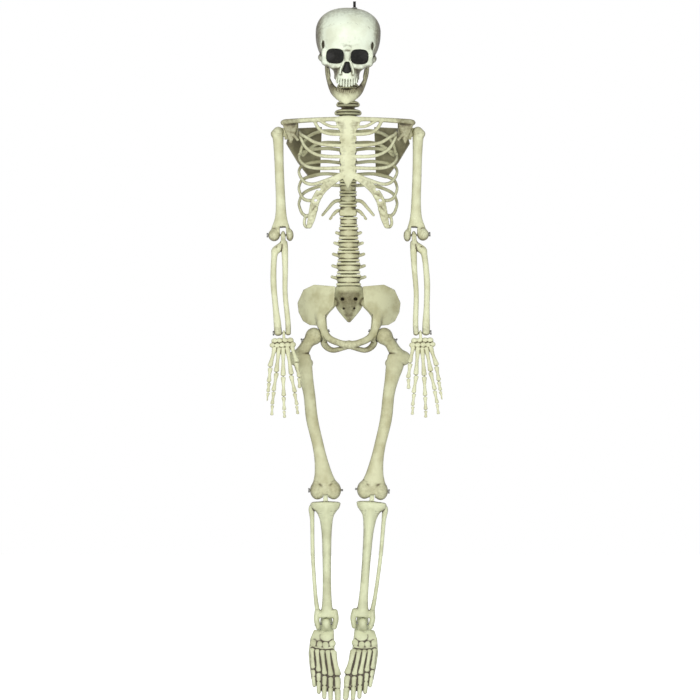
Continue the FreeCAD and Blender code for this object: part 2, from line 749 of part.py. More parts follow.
def clavicle():
    """The collarbone, from the breastbone out to the tip of the shoulder."""
    level = -size("clavicle_drop")
    thick = size("clavicle_thickness")
    tip = size("shoulder_tip_span") / 2
    front = size("chest_reach")
    return bone([
        (7, -front + 3, level - 10, thick * 1.25, thick * 0.8),
        (tip * 0.24, -front + 3, level - 4, thick * 1.15, thick),
        (tip * 0.50, -front + 14, level - 3, thick, thick * 0.9),
        (tip * 0.76, -front + 36, level - 4, thick * 1.1, thick * 0.9),
        (tip, -14, level - 5, thick * 1.2, thick * 0.9),
    ], UP)


def shoulder_plate():
    """The triangular plate below the collarbone's outer end, in front of the socket."""
    level = -size("clavicle_drop")
    tip = size("shoulder_tip_span") / 2
    rear = plate_rear()
    points = [(tip, rear, level - 3), (tip * 0.68, rear, level - 3), (tip * 0.74, rear, level - 46),
              (tip * 0.88, rear, level - 54), (tip * 0.93, rear, level - 34)]
    return plate(points, 12, (0, -1, 0))


def plate_rear():
    """Depth of the face where the shoulder plate rests on the shoulder blade's pad."""
    return size("shoulder_setback") - size("knuckle_diameter") / 2 - 1


def breastbone():
    """The sternum: a broad top, a scalloped body and a point."""
    top = -size("clavicle_drop") + 2
    long = size("sternum_length")
    wide = size("sternum_width")
    front = -size("chest_reach")
    steps = [(0, 1.45), (0.05, 1.6), (0.14, 1.35), (0.22, 0.95), (0.30, 1.1), (0.38, 0.92),
             (0.46, 1.08), (0.54, 0.9), (0.62, 1.05), (0.70, 0.88), (0.78, 1.0), (0.88, 0.75),
             (0.97, 0.34), (1.0, 0.12)]
    rings = [(0, front, top - long * share, wide * width, 9) for share, width in steps]
    return stack(rings)


def cage_seam():
    """Depth of the upright face where the front and the rear of the rib cage meet."""
    return size("chest_centre")


def cage_screw_seat(side):
    """Where the screw through the shoulder blade's pad starts, at its rear face."""
    return Vector(SIDES[side] * size("shoulder_tip_span") * 0.41, size("shoulder_setback") + 14,
                  -size("clavicle_drop") - 12)


def screw_hole(seat, direction, length, diameter, clearance):
    return Part.makeCylinder(diameter / 2 + clearance, length, Vector(*seat), Vector(*direction))


def rib_cage_front():
    """Breastbone, collarbones and the front of the ribs in one moulding."""
    ribs = full_ribs()
    front_half = block((-300, -300, -700), (300, cage_seam(), 0))
    side_parts = short_ribs() + margin() + [clavicle(), shoulder_plate()]
    side_parts += [shape.common(front_half) for shape in ribs]
    cage = join([breastbone()] + both_sides(side_parts))
    holes = [screw_hole(cage_screw_seat(side), (0, -1, 0), 38.5,
                        size("pin_diameter"), size("seat_clearance")) for side in SIDES]
    add_piece("rib_cage_front", largest(cage.cut(holes[0].fuse(holes[1]))))


def rib_cage_rear():
    """The backbone behind the chest with the back of the ribs and the two floating pairs."""
    rear_half = block((-300, cage_seam(), -700), (300, 300, 0))
    rear_ribs = [shape.common(rear_half) for shape in full_ribs() + upper_rear_ribs()]
    top = -size("neck_bottom_drop")
    bottom = -size("waist_drop") + size("disc_gap")
    setback = size("spine_setback")
    width = size("spine_width") * 0.93
    column = stack([(0, setback, top - (top - bottom) * share, width * grow, width * grow)
                    for share, grow in vertebra_steps(9)])
    neck = size("neck_width")
    neck_seat = stack([(0, size("neck_setback"), top, neck * 0.9, neck * 0.85),
                       (0, setback - 3, top - 16, neck * 0.8, neck * 0.8),
                       (0, setback, top - 30, width * 0.9, width * 0.9)])
    floating = [
        bar([(12, setback - 4, bottom + 36), (30, 30, bottom + 33), (44, 24, bottom + 18),
             (57, 16, bottom + 2)], 8.5, 6.5),
        bar([(12, setback - 4, bottom + 14), (26, 31, bottom + 11), (40, 24, bottom - 6)], 8, 6.5),
    ]
    cage = join([column, neck_seat] + both_sides(rear_ribs + floating))
    bolt = size("axle_diameter") / 2 + size("seat_clearance")
    hole = Part.makeCylinder(bolt, 26, Vector(0, setback, bottom - 1))
    add_piece("rib_cage_rear", largest(cage.cut(hole)))


def vertebra_steps(count):
    """Shares down a column and how far each ring stands out, for a row of vertebrae."""
    steps = []
    for number in range(count):
        for share, grow in ((0.0, 0.90), (0.14, 1.0), (0.34, 0.93), (0.66, 0.93), (0.86, 1.0)):
            steps.append(((number + share) / count, grow))
    return steps + [(1.0, 0.90)]


def scapula(side):
    """A shoulder blade: a slanted plate with the socket's block at its outer corner."""
    inner, rear = size("scapula_inner"), size("scapula_setback")
    slope = math.tan(math.radians(size("scapula_slope")))
    top = -size("clavicle_drop") - 10
    corners = [(inner, top), (128, top - 6), (136, top - 40), (111, top - 81), (84, top - 116),
               (inner + 4, top - 110)]
    outline = [(x, rear - (x - inner) * slope, z) for x, z in corners]
    blade = plate(outline, size("scapula_thickness"), (slope, 1, 0))
    axle_x = size("shoulder_span") / 2 - size("lobe_diameter") / 2 - 1.5 - size("knuckle_width")
    face = axle_x - size("hinge_gap")
    depth, level = size("shoulder_setback"), -size("shoulder_drop")
    socket = rod((face - 10, depth, level), ACROSS, 20, size("knuckle_diameter") * 0.9)
    pad = block((face - 20, plate_rear(), level - 12),
                (face, depth + 14, -size("clavicle_drop") - 3))
    ridge = bar([(inner + 6, rear + 4, top - 26), (95, rear - 14, top - 18), (118, 24, top - 14)],
                9, 7)
    hole = screw_hole((face - 30, depth, level), (1, 0, 0), 60, size("axle_diameter"),
                      size("seat_clearance"))
    seat = cage_screw_seat("left")
    fixing = screw_hole(seat, (0, -1, 0), 60, size("pin_diameter"),
                        size("seat_clearance"))
    access = Part.makeCylinder(size("screw_head") / 2 + size("hinge_gap"), 30, seat, BACKWARD)
    swing_room = rod((face + 30, depth, level), ACROSS, 60, size("knuckle_diameter") + 2)
    shape = largest(cut(join([blade, socket, pad, ridge]), [hole, fixing, access, swing_room]))
    add_piece("scapula_" + side, side_shape(side, shape))


def cage_screws():
    """The screws that clamp the shoulder blades to the front of the rib cage, from behind."""
    places = [figure.multiply(pointing(cage_screw_seat(side), (0, -1, 0))) for side in SIDES]
    add_screw("rib_cage_screws", "38", "pin_diameter", places)


def waist_bolt():
    """The upright screw that the lower spine twists on."""
    add_screw("waist_bolt", "38", "axle_diameter", [figure.multiply(pointing(waist_seat(), UP))])


# ---------------------------------------------------------------- lower spine and pelvis

def lumbar_spine():
    """Six lumbar vertebrae that widen downwards, with their side processes."""
    top, bottom = -size("waist_drop") - size("disc_gap"), -size("hipbone_drop")
    first, last = size("lumbar_top_width"), size("lumbar_base_width")
    setback = size("spine_setback")
    rings = []
    for share, grow in vertebra_steps(6):
        width = (first + (last - first) * share) * grow
        rings.append((size("hip_shift") * share, setback, top - (top - bottom) * share, width,
                      width * 0.88))
    shapes = [stack(rings)]
    height = (top - bottom) / 6
    for number, reach in enumerate((27.6, 32.0, 34.5, 36.0, 37.5)):
        level = top - height * (number + 1.45)
        shapes += both_sides([bar([(8, setback, level - 1), (reach * 0.7, setback + 1, level),
                                   (reach, setback + 3, level + 3)], 7.5, 8)])
    shank = size("axle_diameter") / 2 + size("running_clearance")
    channel = size("screw_head") / 2 + size("hinge_gap")
    holes = [Part.makeCylinder(shank, 60, Vector(0, setback, top - 50)),
             Part.makeCylinder(channel, 300, waist_seat() - UP * 300)]
    for seat in lumbar_seats():
        holes.append(screw_hole(seat, UP, LUMBAR_SCREW_LENGTH + 0.5, size("pin_diameter"),
                                size("seat_clearance")))
    add_piece("lumbar_spine", largest(cut(join(shapes), holes)))


def waist_seat():
    """Where the head of the waist bolt bears, inside the top lumbar vertebra."""
    return Vector(0, size("spine_setback"), -size("waist_drop") - 16)


def lumbar_seats():
    """Where the heads of the two screws in the sacrum bear."""
    return [Vector(size("hip_shift") + side * 17, size("spine_setback") - 4,
                   -size("hipbone_drop") - 18) for side in SIDES.values()]


def lumbar_screws():
    """The screws up through the sacrum into the lowest lumbar vertebra."""
    places = [figure.multiply(pointing(seat, UP)) for seat in lumbar_seats()]
    add_screw("lumbar_screws", str(LUMBAR_SCREW_LENGTH), "pin_diameter", places)


def sacrum():
    """The wedge at the back of the pelvis that the spine stands on, level on top."""
    top = -size("hipbone_drop")
    long, wide = size("sacrum_length"), size("sacrum_width")
    rear = size("spine_setback")
    wedge = bone([
        (0, rear, top, wide * 0.86, 40), (0, rear + 3, top - long * 0.25, wide, 32),
        (0, rear + 10, top - long * 0.52, wide * 0.92, 24),
        (0, rear + 14, top - long * 0.80, wide * 0.5, 17), (0, rear + 10, top - long, 12, 10)])
    return wedge.common(block((-wide, -wide, top - 2 * long), (wide, 2 * wide, top)))


def hip_wing():
    """The broad wing of the hip bone, from the sacrum's side outwards and forwards."""
    outer, inner = size("pelvis_width") / 2, size("sacrum_width") * 0.26
    tall, turn = size("wing_height") / 2, size("wing_turn")
    half_span = (outer - inner) / 2 / math.cos(math.radians(turn)) * 1.02
    wing = egg((0, 0, 0), half_span, size("wing_thickness") / 2, tall)
    wing.rotate(HERE, UP, -turn)
    wing.translate(Vector((outer + inner) / 2, size("wing_setback"), -size("hipbone_drop") - tall + 2))
    return wing


def pelvis_bars():
    """The round rim of the opening, and the thinner arch below it."""
    half = size("inlet_width") / 2
    top = -size("hipbone_drop")
    pubis, reach = -size("pubis_drop"), size("pubis_reach")
    rim_level = top - 44
    upper = [(half * 0.66, 34, rim_level), (half * 0.99, 18, rim_level - 22),
             (half * 1.03, -4, rim_level - 50), (half * 0.80, -24, pubis + 15),
             (half * 0.38, -reach + 6, pubis + 3), (4, -reach, pubis)]
    hip = -size("hip_drop")
    lower = [(half * 1.02, 2, hip + 2), (half * 0.98, 3, hip - 19), (half * 0.64, -16, hip - 31),
             (7, -reach + 4, hip - 25)]
    return [bar(upper, size("inlet_bar"), size("inlet_bar") * 0.9),
            bar(lower, size("lower_bar"), size("lower_bar"))]


def pelvis():
    """Wings, sacrum and the ring of bars in one moulding, with a dished seat for each hip."""
    half = size("inlet_width") / 2
    hub = ball((half + 1, size("hip_setback"), -size("hip_drop") + 8), 15)
    link = bone([(half + 4, 2, -size("hipbone_drop") - 58, 26, 17),
                 (half + 1, -2, -size("hip_drop") + 20, 20, 19),
                 (half - 1, -4, -size("hip_drop") + 2, 17, 22)])
    side_parts = [hip_wing(), hub, link] + pelvis_bars()
    symphysis = egg((0, -size("pubis_reach"), -size("pubis_drop") - 4), 10, 9, 15)
    whole = join([sacrum(), symphysis] + both_sides(side_parts))
    whole.translate(Vector(size("hip_shift"), 0, 0))
    seat_radius = size("hip_ball") / 2 + size("joint_clearance")
    tools = []
    for side in SIDES:
        centre, axis = hip_point(side), hip_axis(side)
        tools.append(Part.makeSphere(seat_radius, centre))
        tools.append(Part.makeCylinder(size("hip_pin_diameter") / 2 + size("seat_clearance"), 60,
                                       centre, axis))
    for seat in lumbar_seats():
        tools.append(screw_hole(seat, UP, 30, size("pin_diameter"), size("seat_clearance")))
        tools.append(screw_hole(seat, UP * -1, 60, size("screw_head"), size("hinge_gap")))
    add_piece("pelvis", largest(cut(whole, tools)))


# ---------------------------------------------------------------- arms

def shoulder_knuckle(side):
    """The knuckle beside the socket: it swings on the axle and its tongue holds the arm."""
    wide, tall = size("knuckle_width"), size("knuckle_diameter")
    face = -size("lobe_diameter") / 2 - 1.5
    tongue = slot_thickness()
    shape = join([
        rod((face - wide / 2, 0, 0), ACROSS, wide, tall),
        block((face - 2, -tongue / 2, -size("lobe_diameter") * 0.38),
              (0, tongue / 2, size("lobe_diameter") * 0.38)),
        rod((0, 0, 0), BACKWARD, tongue, size("lobe_diameter") * 0.76),
    ])
    pin = size("pin_diameter") / 2 + size("running_clearance")
    axle = size("axle_diameter") / 2 + size("running_clearance")
    shape = cut(shape, [
        Part.makeCylinder(pin, 60, Vector(0, -30, 0), BACKWARD),
        Part.makeCylinder(axle, wide - 2, Vector(face - wide - 1, 0, 0), ACROSS)])
    add_piece("shoulder_knuckle_" + side, side_shape(side, shape),
              frame_at(shoulder_point(side), 0, size("arm_swing")))


def slot_thickness():
    """Thickness of the shoulder's tongue."""
    return size("elbow_tongue") - 2


def shoulder_screws(side):
    """The axle from the socket into the knuckle, and the pin through the arm's two lobes."""
    sign = SIDES[side]
    knuckle_face = size("lobe_diameter") / 2 + 1.5 + size("knuckle_width") + size("hinge_gap")
    seat = shoulder_point(side) - Vector(sign * (knuckle_face + 20), 0, 0)
    add_screw("shoulder_axle_" + side, "20 + Sizes.hinge_gap + Sizes.knuckle_width - 4",
              "axle_diameter", [figure.multiply(pointing(seat, (sign, 0, 0)))])
    place = upper_arm_frame(side).multiply(
        pointing((0, size("lobe_depth") / 2, 0), (0, -1, 0)))
    add_screw("shoulder_lift_screw_" + side, "Sizes.lobe_depth - 1", "pin_diameter", [place])


def humerus(side):
    """The upper arm: two lobes on the shoulder's tongue, a shaft and the elbow's fork."""
    long, wide = size("upper_arm_length"), size("humerus_width")
    lobes = size("lobe_diameter")
    offset = size("elbow_offset")
    shaft = bone([
        (1, 0, -6, lobes * 0.84, size("lobe_depth") * 0.92),
        (1, 0, -24, wide * 1.06, wide), (1.3, 0, -59, wide * 0.98, wide * 0.95),
        (1.8, 0, -long * 0.42, wide * 0.95, wide * 0.92), (2, 0, -long * 0.66, wide, wide * 0.92),
        (3, 0, -long * 0.82, wide * 1.2, wide * 0.95),
        (offset, 0, -long * 0.93, size("elbow_width") * 0.72, wide),
        (offset, 0, -long, size("elbow_width") * 0.8, wide)])
    head = rod((0, 0, 0), BACKWARD, size("lobe_depth"), lobes)
    lobe_pair = elbow_lobes()
    for lobe in lobe_pair:
        lobe.Placement = elbow_turn(side).multiply(lobe.Placement)
    shape = join([shaft, head] + lobe_pair)
    room = slot_thickness() + 2 * size("hinge_gap")
    tongue_room = [
        rod((0, 0, 0), BACKWARD, room, lobes * 0.76 + 3),
        block((-40, -room / 2, -lobes * 0.38 - 1.5), (0, room / 2, 40)),
        block((-40, -room / 2, 0), (lobes * 0.38 + 1.5, room / 2, 40)),
    ]
    pin = size("pin_diameter") / 2 + size("seat_clearance")
    tools = tongue_room + [Part.makeCylinder(pin, 60, Vector(0, -30, 0), BACKWARD)]
    for tool in elbow_room() + [Part.makeCylinder(pin, 120, Vector(-60, 0, 0), ACROSS)]:
        tool.Placement = elbow_turn(side).multiply(tool.Placement)
        tools.append(tool)
    shape = largest(cut(shape, tools))
    add_piece("humerus_" + side, side_shape(side, shape), upper_arm_frame(side))


def elbow_turn(side):
    """The elbow's fork, turned in the upper arm's frame to face the forearm."""
    turn = size("forearm_lean_" + side) - size("arm_lean_" + side)
    return Placement(Vector(0, 0, -size("upper_arm_length")), Rotation(BACKWARD, turn))


def elbow_lobes():
    """The two rounded ends of the elbow's fork, either side of its slot."""
    wide, thick = size("elbow_width"), size("elbow_diameter")
    low, high = size("elbow_offset") - wide / 2, size("elbow_offset") + wide / 2
    inner = drum((low / 2 + 1, 0, 0), -low + 2, thick, 5)
    outer = drum((high / 2 - 1, 0, 0), high + 2, thick, 5)
    return [inner, outer]


def elbow_room():
    """The slot that the forearm's tongue turns in."""
    half = size("elbow_tongue") / 2 + size("hinge_gap")
    return [block((-half, -40, -40), (half, 40, size("elbow_diameter") / 2 + 8))]


def forearm(side):
    """Radius and ulna side by side, with the elbow's tongue between them at the top."""
    long = size("forearm_length")
    radius, ulna = size("radius_width"), size("ulna_width")
    gap = size("wrist_tongue") / 2 + size("hinge_gap")
    tongue, disc = size("elbow_tongue"), size("elbow_diameter") * 0.68
    reach = size("elbow_diameter") / 2
    outer = bone([
        (4, 0, -reach - 8, tongue * 1.4, 15), (14, 0, -reach - 20, radius * 1.75, 19),
        (20, 0, -reach - 34, radius, radius * 0.95), (22, 0, -long * 0.48, radius, radius * 0.9),
        (18, 0, -long * 0.72, radius * 0.95, radius * 0.9),
        (gap + 10, 0, -long * 0.90, radius * 1.15, radius),
        (gap + 8, 0, -long - 5, 16, 17)])
    inner = bone([
        (-1, 0, -reach - 5, tongue * 1.7, 18), (-3, 0, -reach - 20, ulna * 1.3, 15),
        (-4, 0, -long * 0.35, ulna, ulna), (-3.5, 0, -long * 0.6, ulna * 0.92, ulna * 0.9),
        (-gap - 6, 0, -long * 0.88, ulna * 0.95, ulna),
        (-gap - 6, 0, -long - 5, 12, 15)])
    web = join([rod((0, 0, 0), ACROSS, tongue, disc),
                block((-tongue / 2, -disc / 2, -reach - 12), (tongue / 2, disc / 2, 0))])
    shape = join([outer, inner, web])
    pin = size("pin_diameter") / 2
    room = block((-gap, -30, -long - 20), (gap, 30, -long + size("palm_thickness")))
    shape = cut(shape, [
        room,
        Part.makeCylinder(pin + size("running_clearance"), 60, Vector(-30, 0, 0), ACROSS),
        Part.makeCylinder(pin + size("seat_clearance"), 80, Vector(-40, 0, -long), ACROSS)])
    add_piece("forearm_" + side, side_shape(side, largest(shape)), forearm_frame(side))


def finger(root, knuckles, tip, width):
    """One ray of the hand: a chain of slim bones with knobs where they meet."""
    chain = [root] + knuckles + [tip]
    shapes = []
    for number, (start, end) in enumerate(zip(chain, chain[1:])):
        fat = width * (1.0 - 0.11 * number)
        start, end = Vector(*start), Vector(*end)
        middle = (start + end) / 2
        shapes.append(bone([(*start, fat * 1.05, fat), (*middle, fat * 0.66, fat * 0.66),
                            (*end, fat * 0.95, fat * 0.92)]))
        shapes.append(ball(end, fat * 0.54))
    return shapes


def hand(side):
    """A whole hand in one moulding: wrist block, palm bones, four fingers and the thumb."""
    long, wide = size("hand_length"), size("hand_width")
    width = size("finger_width")
    tongue = size("wrist_tongue")
    disc = size("palm_thickness")
    drop = size("palm_thickness") / 2 + 7
    carpals = bone([
        (4, 0, -drop + 4, wide * 0.55, disc * 0.8), (4, 0, -drop - 3, wide * 0.86, disc),
        (4, 0, -long * 0.12, wide * 0.96, disc), (4, 0, -long * 0.185, wide * 0.84, disc * 0.86)])
    rays = [
        # root, knuckles and tip, each (share of width, share of length)
        ((0.52, 0.16), [(0.70, 0.405), (0.82, 0.60), (0.88, 0.73)], (0.99, 0.83)),
        ((0.24, 0.17), [(0.40, 0.485), (0.56, 0.72), (0.63, 0.88)], (0.66, 0.995)),
        ((0.02, 0.17), [(0.03, 0.53), (0.01, 0.79), (0.0, 0.95)], (-0.02, 1.04)),
        ((-0.24, 0.17), [(-0.44, 0.515), (-0.62, 0.76), (-0.72, 0.885)], (-0.77, 0.985)),
        ((-0.44, 0.10), [(-0.84, 0.37), (-1.06, 0.555)], (-1.07, 0.68)),
    ]
    shapes = [carpals]
    for root, knuckles, tip in rays:
        chain = [(share * wide / 2 + 3, 0, -down * long) for share, down in
                 [root] + knuckles + [tip]]
        shapes += finger(chain[0], chain[1:-1], chain[-1], width)
    shapes += [rod((0, 0, 0), ACROSS, tongue, disc * 0.9),
               block((-tongue / 2, -disc * 0.45, -drop), (tongue / 2, disc * 0.45, 0))]
    pin = size("pin_diameter") / 2 + size("running_clearance")
    shape = cut(join(shapes), [Part.makeCylinder(pin, 40, Vector(-20, 0, 0), ACROSS)])
    add_piece("hand_" + side, side_shape(side, largest(shape)), hand_frame(side))


def arm_screws(side):
    """The elbow's screw and the wrist's screw, each put in from the outer side."""
    sign = SIDES[side]
    elbow_seat = sign * (size("elbow_offset") + size("elbow_width") / 2)
    place = forearm_frame(side).multiply(pointing((elbow_seat, 0, 0), (-sign, 0, 0)))
    add_screw("elbow_screw_" + side, "Sizes.elbow_width - 2", "pin_diameter", [place])
    wrist_seat = sign * (size("wrist_tongue") / 2 + size("hinge_gap") + 17.5)
    place = forearm_frame(side).multiply(
        pointing((wrist_seat, 0, -size("forearm_length")), (-sign, 0, 0)))
    add_screw("wrist_screw_" + side, "Sizes.wrist_tongue + 28", "pin_diameter", [place])


# ---------------------------------------------------------------- legs

def hip_bolt(side):
    """The bolt from the femur's head up into the pelvis."""
    centre, axis = hip_point(side), hip_axis(side)
    seat = centre - axis * (size("hip_ball") / 2 + 8)
    add_screw("hip_bolt_" + side, "Sizes.hip_ball + 26", "hip_pin_diameter",
              [figure.multiply(pointing(seat, axis))])


def femur(side):
    """The thigh bone: ball, neck and trochanter, a bowed shaft and the knee's fork."""
    wide = size("femur_width")
    knee = Vector(-(size("hip_span") - size("knee_span")) / 2, 0, -size("thigh_length"))
    fork, thick = size("knee_width"), size("knee_diameter")
    ball_size = size("hip_ball")

    def down(share, outward, width, depth, back=0):
        """A ring on the way to the knee, so far outward of the straight line."""
        return (knee.x * share + outward, back, knee.z * share, width, depth)

    shaft = bone([
        down(0.03, 6, wide * 1.25, wide * 1.2), down(0.085, 20, wide * 1.5, wide * 1.2),
        down(0.14, 29, wide * 1.8, wide * 1.2), down(0.20, 29, wide * 1.7, wide * 1.1),
        down(0.285, 24, wide * 1.25, wide), down(0.38, 20, wide * 1.05, wide),
        down(0.54, 18, wide, wide),
        down(0.70, 9.5, wide * 1.05, wide), down(0.80, 5, wide * 1.2, wide * 1.08),
        down(0.89, 2, wide * 1.62, wide * 1.3), down(0.95, 0.5, fork * 0.8, thick * 0.78)])
    trochanter = join([ball((14, 2, -9), 14), ball((43, 2, -49), 16)])
    lean = Rotation(BACKWARD, size("shin_lean_" + side))
    lobes = []
    for sign in SIDES.values():
        lobe = drum((sign * (fork / 4 - 2), 0, 0), fork / 2 + 4, thick, 14)
        lobe.Placement = Placement(knee, lean).multiply(lobe.Placement)
        lobes.append(lobe)
    shape = join([ball((0, 0, 0), ball_size / 2), shaft, trochanter] + lobes)
    half = size("knee_tongue") / 2 + size("hinge_gap")
    pin = size("pin_diameter") / 2 + size("seat_clearance")
    reach = thick / 2
    room = [
        block((-half, -reach * 0.72, -60), (half, 60, 0)),
        block((-half, 0, -60), (half, 60, reach * 1.6)),
        rod((0, 0, 0), ACROSS, 2 * half, reach * 1.44),
        Part.makeCylinder(pin, 120, Vector(-60, 0, 0), ACROSS),
    ]
    for tool in room:
        tool.Placement = Placement(knee, lean).multiply(tool.Placement)
    axis = hip_axis("left")
    bolt_room = [
        Part.makeCylinder(size("hip_pin_diameter") / 2 + size("running_clearance"), 80,
                          axis * -60, axis),
        Part.makeCylinder(size("screw_head") / 2 + 0.6, 60, axis * (-ball_size / 2 - 68), axis),
    ]
    shape = largest(cut(shape, room + bolt_room))
    add_piece("femur_" + side, side_shape(side, shape), hip_frame(side))


def knee_screw(side):
    """The knee's screw; its tip shows on the inner side."""
    sign = SIDES[side]
    place = shin_frame(side).multiply(pointing((sign * size("knee_width") / 2, 0, 0),
                                               (-sign, 0, 0)))
    add_screw("knee_screw_" + side, "Sizes.knee_width + 4", "pin_diameter", [place])


def shin(side):
    """Tibia and fibula in one moulding: tongue, flat top, two shafts and the ankle's fork."""
    long, wide = size("shin_length"), size("tibia_width")
    top, flat = -size("plateau_drop"), size("plateau_width")
    fork = size("ankle_width")
    gap = size("ankle_tongue") / 2 + size("hinge_gap")
    tibia = bone([
        (0, 0, top - 1, flat * 0.86, 38), (0, 0, top - 5, flat * 0.90, 40),
        (0, 0, top - 16, flat * 0.70, 33), (-1, 0, top - 36, wide * 1.5, 27),
        (-1.5, 0, top - 66, wide * 1.12, 23), (-2, 0, -long * 0.5, wide * 0.95, wide),
        (-2, 0, -long * 0.75, wide * 0.96, wide), (-2, 0, -long * 0.90, wide * 1.2, wide * 1.1),
        (-1, 0, -long + 16, fork * 0.82, 25)])
    inner_ankle = bone([(-gap - 2, 0, -long + 22, 14, 24), (-gap - 4.5, 0, -long + 8, 9, 20),
                        (-gap - 4.5, 0, -long - 7, 8, 15)])
    slim = size("fibula_width")
    fibula = bone([
        (26, 3, top - 6, 13, 15), (31, 4, top - 18, slim * 1.5, 13), (30, 4, top - 45, slim, slim),
        (29, 4, -long * 0.5, slim * 0.92, slim), (24, 3, -long * 0.78, slim * 0.92, slim),
        (gap + 7, 1, -long + 24, slim * 1.2, 12), (gap + 5, 0, -long + 4, 11, 18),
        (gap + 4, 0, -long - 8, 8, 13)])
    link = bone([(12, 0, -long + 20, 14, 20), (gap + 4, 1, -long + 17, 12, 15)], UP)
    tongue, disc = size("knee_tongue"), size("knee_diameter") * 0.56
    web = [rod((0, 0, 0), ACROSS, tongue, disc),
           block((-tongue / 2, -disc / 2, top - 6), (tongue / 2, disc / 2, 0))]
    shape = join([tibia, inner_ankle, fibula, link] + web)
    pin = size("pin_diameter") / 2
    room = block((-gap, -40, -long - 30), (gap, 40, -long + 15))
    shape = cut(shape, [
        room,
        Part.makeCylinder(pin + size("running_clearance"), 80, Vector(-40, 0, 0), ACROSS),
        Part.makeCylinder(pin + size("seat_clearance"), 120, Vector(-60, 0, -long), ACROSS)])
    add_piece("shin_" + side, side_shape(side, largest(shape)), shin_frame(side))


def ankle_screw(side):
    sign = SIDES[side]
    seat = sign * (size("ankle_tongue") / 2 + size("hinge_gap") + 12)
    place = shin_frame(side).multiply(pointing((seat, 0, -size("shin_length")), (-sign, 0, 0)))
    add_screw("ankle_screw_" + side, "Sizes.ankle_tongue + 18", "pin_diameter", [place])


def foot(side):
    """A foot in one moulding, modelled flat on its sole: toes run forward, top faces up."""
    long, wide = size("foot_length"), size("foot_width")
    toe = size("toe_width")
    heel = size("heel_reach")
    tongue = size("ankle_tongue")
    turn = 5 - size("shin_lean_" + side)
    back_part = bone([
        (0, heel, -27, 24, 24), (0, heel - 12, -24, 34, 30), (0, 4, -15, 34, 32),
        (1, -14, -15, 36, 30), (3, -34, -19, wide * 0.72, 27), (4, -58, -23, wide * 0.86, 24),
        (3, -74, -25, wide * 0.88, 20)], ACROSS)
    rays = [
        # outward share of the width at the root, knuckle and tip, and how far the toe reaches
        (-0.34, -0.36, -0.36, 1.0, 1.28), (-0.12, -0.12, -0.08, 0.975, 1.0),
        (0.08, 0.10, 0.14, 0.945, 0.96), (0.27, 0.31, 0.35, 0.915, 0.94),
        (0.42, 0.47, 0.50, 0.865, 0.98),
    ]
    shapes = [back_part]
    for root, knuckle, tip, reach, fat in rays:
        width = toe * fat
        end = -long * reach
        shapes.append(bone([
            (root * wide + 4, -62, -24, width * 1.1, 18),
            (knuckle * wide + 4, -0.68 * long * reach, -33, width * 1.12, 16),
            (tip * wide * 0.96 + 4, end + 18, -37, width * 0.95, 12),
            (tip * wide * 0.96 + 4, end, -38, width * 0.8, 8)], ACROSS))
    web = bone([(4, -70, -26, wide * 0.9, 13), (4, -0.66 * long, -31, wide * 0.94, 12),
                (5, -0.84 * long, -35, wide * 0.92, 9)], ACROSS)
    sole = join(shapes + [web])
    sole.rotate(HERE, UP, turn)
    hub = join([rod((0, 0, 0), ACROSS, tongue, 25),
                block((-tongue / 2, -12, -16), (tongue / 2, 12, 0))])
    ankle_room = 17
    clear = [rod((sign * (tongue / 2 + 20), 0, 0), ACROSS, 40, 2 * ankle_room)
             for sign in SIDES.values()]
    clear.append(block((-50, -ankle_room, 0), (50, ankle_room, 40)))
    pin = size("pin_diameter") / 2 + size("running_clearance")
    shape = join([cut(sole, clear), hub])
    shape = cut(shape, [Part.makeCylinder(pin, 80, Vector(-40, 0, 0), ACROSS)])
    add_piece("foot_" + side, side_shape(side, largest(shape)), foot_frame(side))


# ---------------------------------------------------------------- the whole figure

def build():
    hanging_eye()
    eye_hardware()
    skull_halves()
    liners()
    jaw()
    jaw_screws()
    atlas_block()
    neck_screws()
    neck_column()
    rib_cage_front()
    rib_cage_rear()
    cage_screws()
    waist_bolt()
    lumbar_spine()
    lumbar_screws()
    pelvis()
    for side in SIDES:
        scapula(side)
        shoulder_knuckle(side)
        shoulder_screws(side)
        humerus(side)
        forearm(side)
        hand(side)
        arm_screws(side)
        hip_bolt(side)
        femur(side)
        knee_screw(side)
        shin(side)
        ankle_screw(side)
        foot(side)
    doc.recompute()


def check():
    """Stop if an object failed or a piece's shape isn't sound."""
    for thing in doc.Objects:
        if "Invalid" in thing.State or "Error" in thing.State:
            raise RuntimeError("%s failed" % thing.Label)
    for label in piece_labels:
        shape = doc.getObjectsByLabel(label)[0].Shape
        if shape.isNull() or not shape.isValid():
            raise RuntimeError("%s has no sound shape" % label)


def export():
    os.makedirs("parts", exist_ok=True)
    for label in piece_labels:
        doc.getObjectsByLabel(label)[0].Shape.exportStep("parts/%s.step" % label)


build()
check()
export()
print(len(piece_labels), "pieces")
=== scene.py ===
import json
import math

import bpy
import numpy as np
from mathutils import Euler, Matrix, Vector


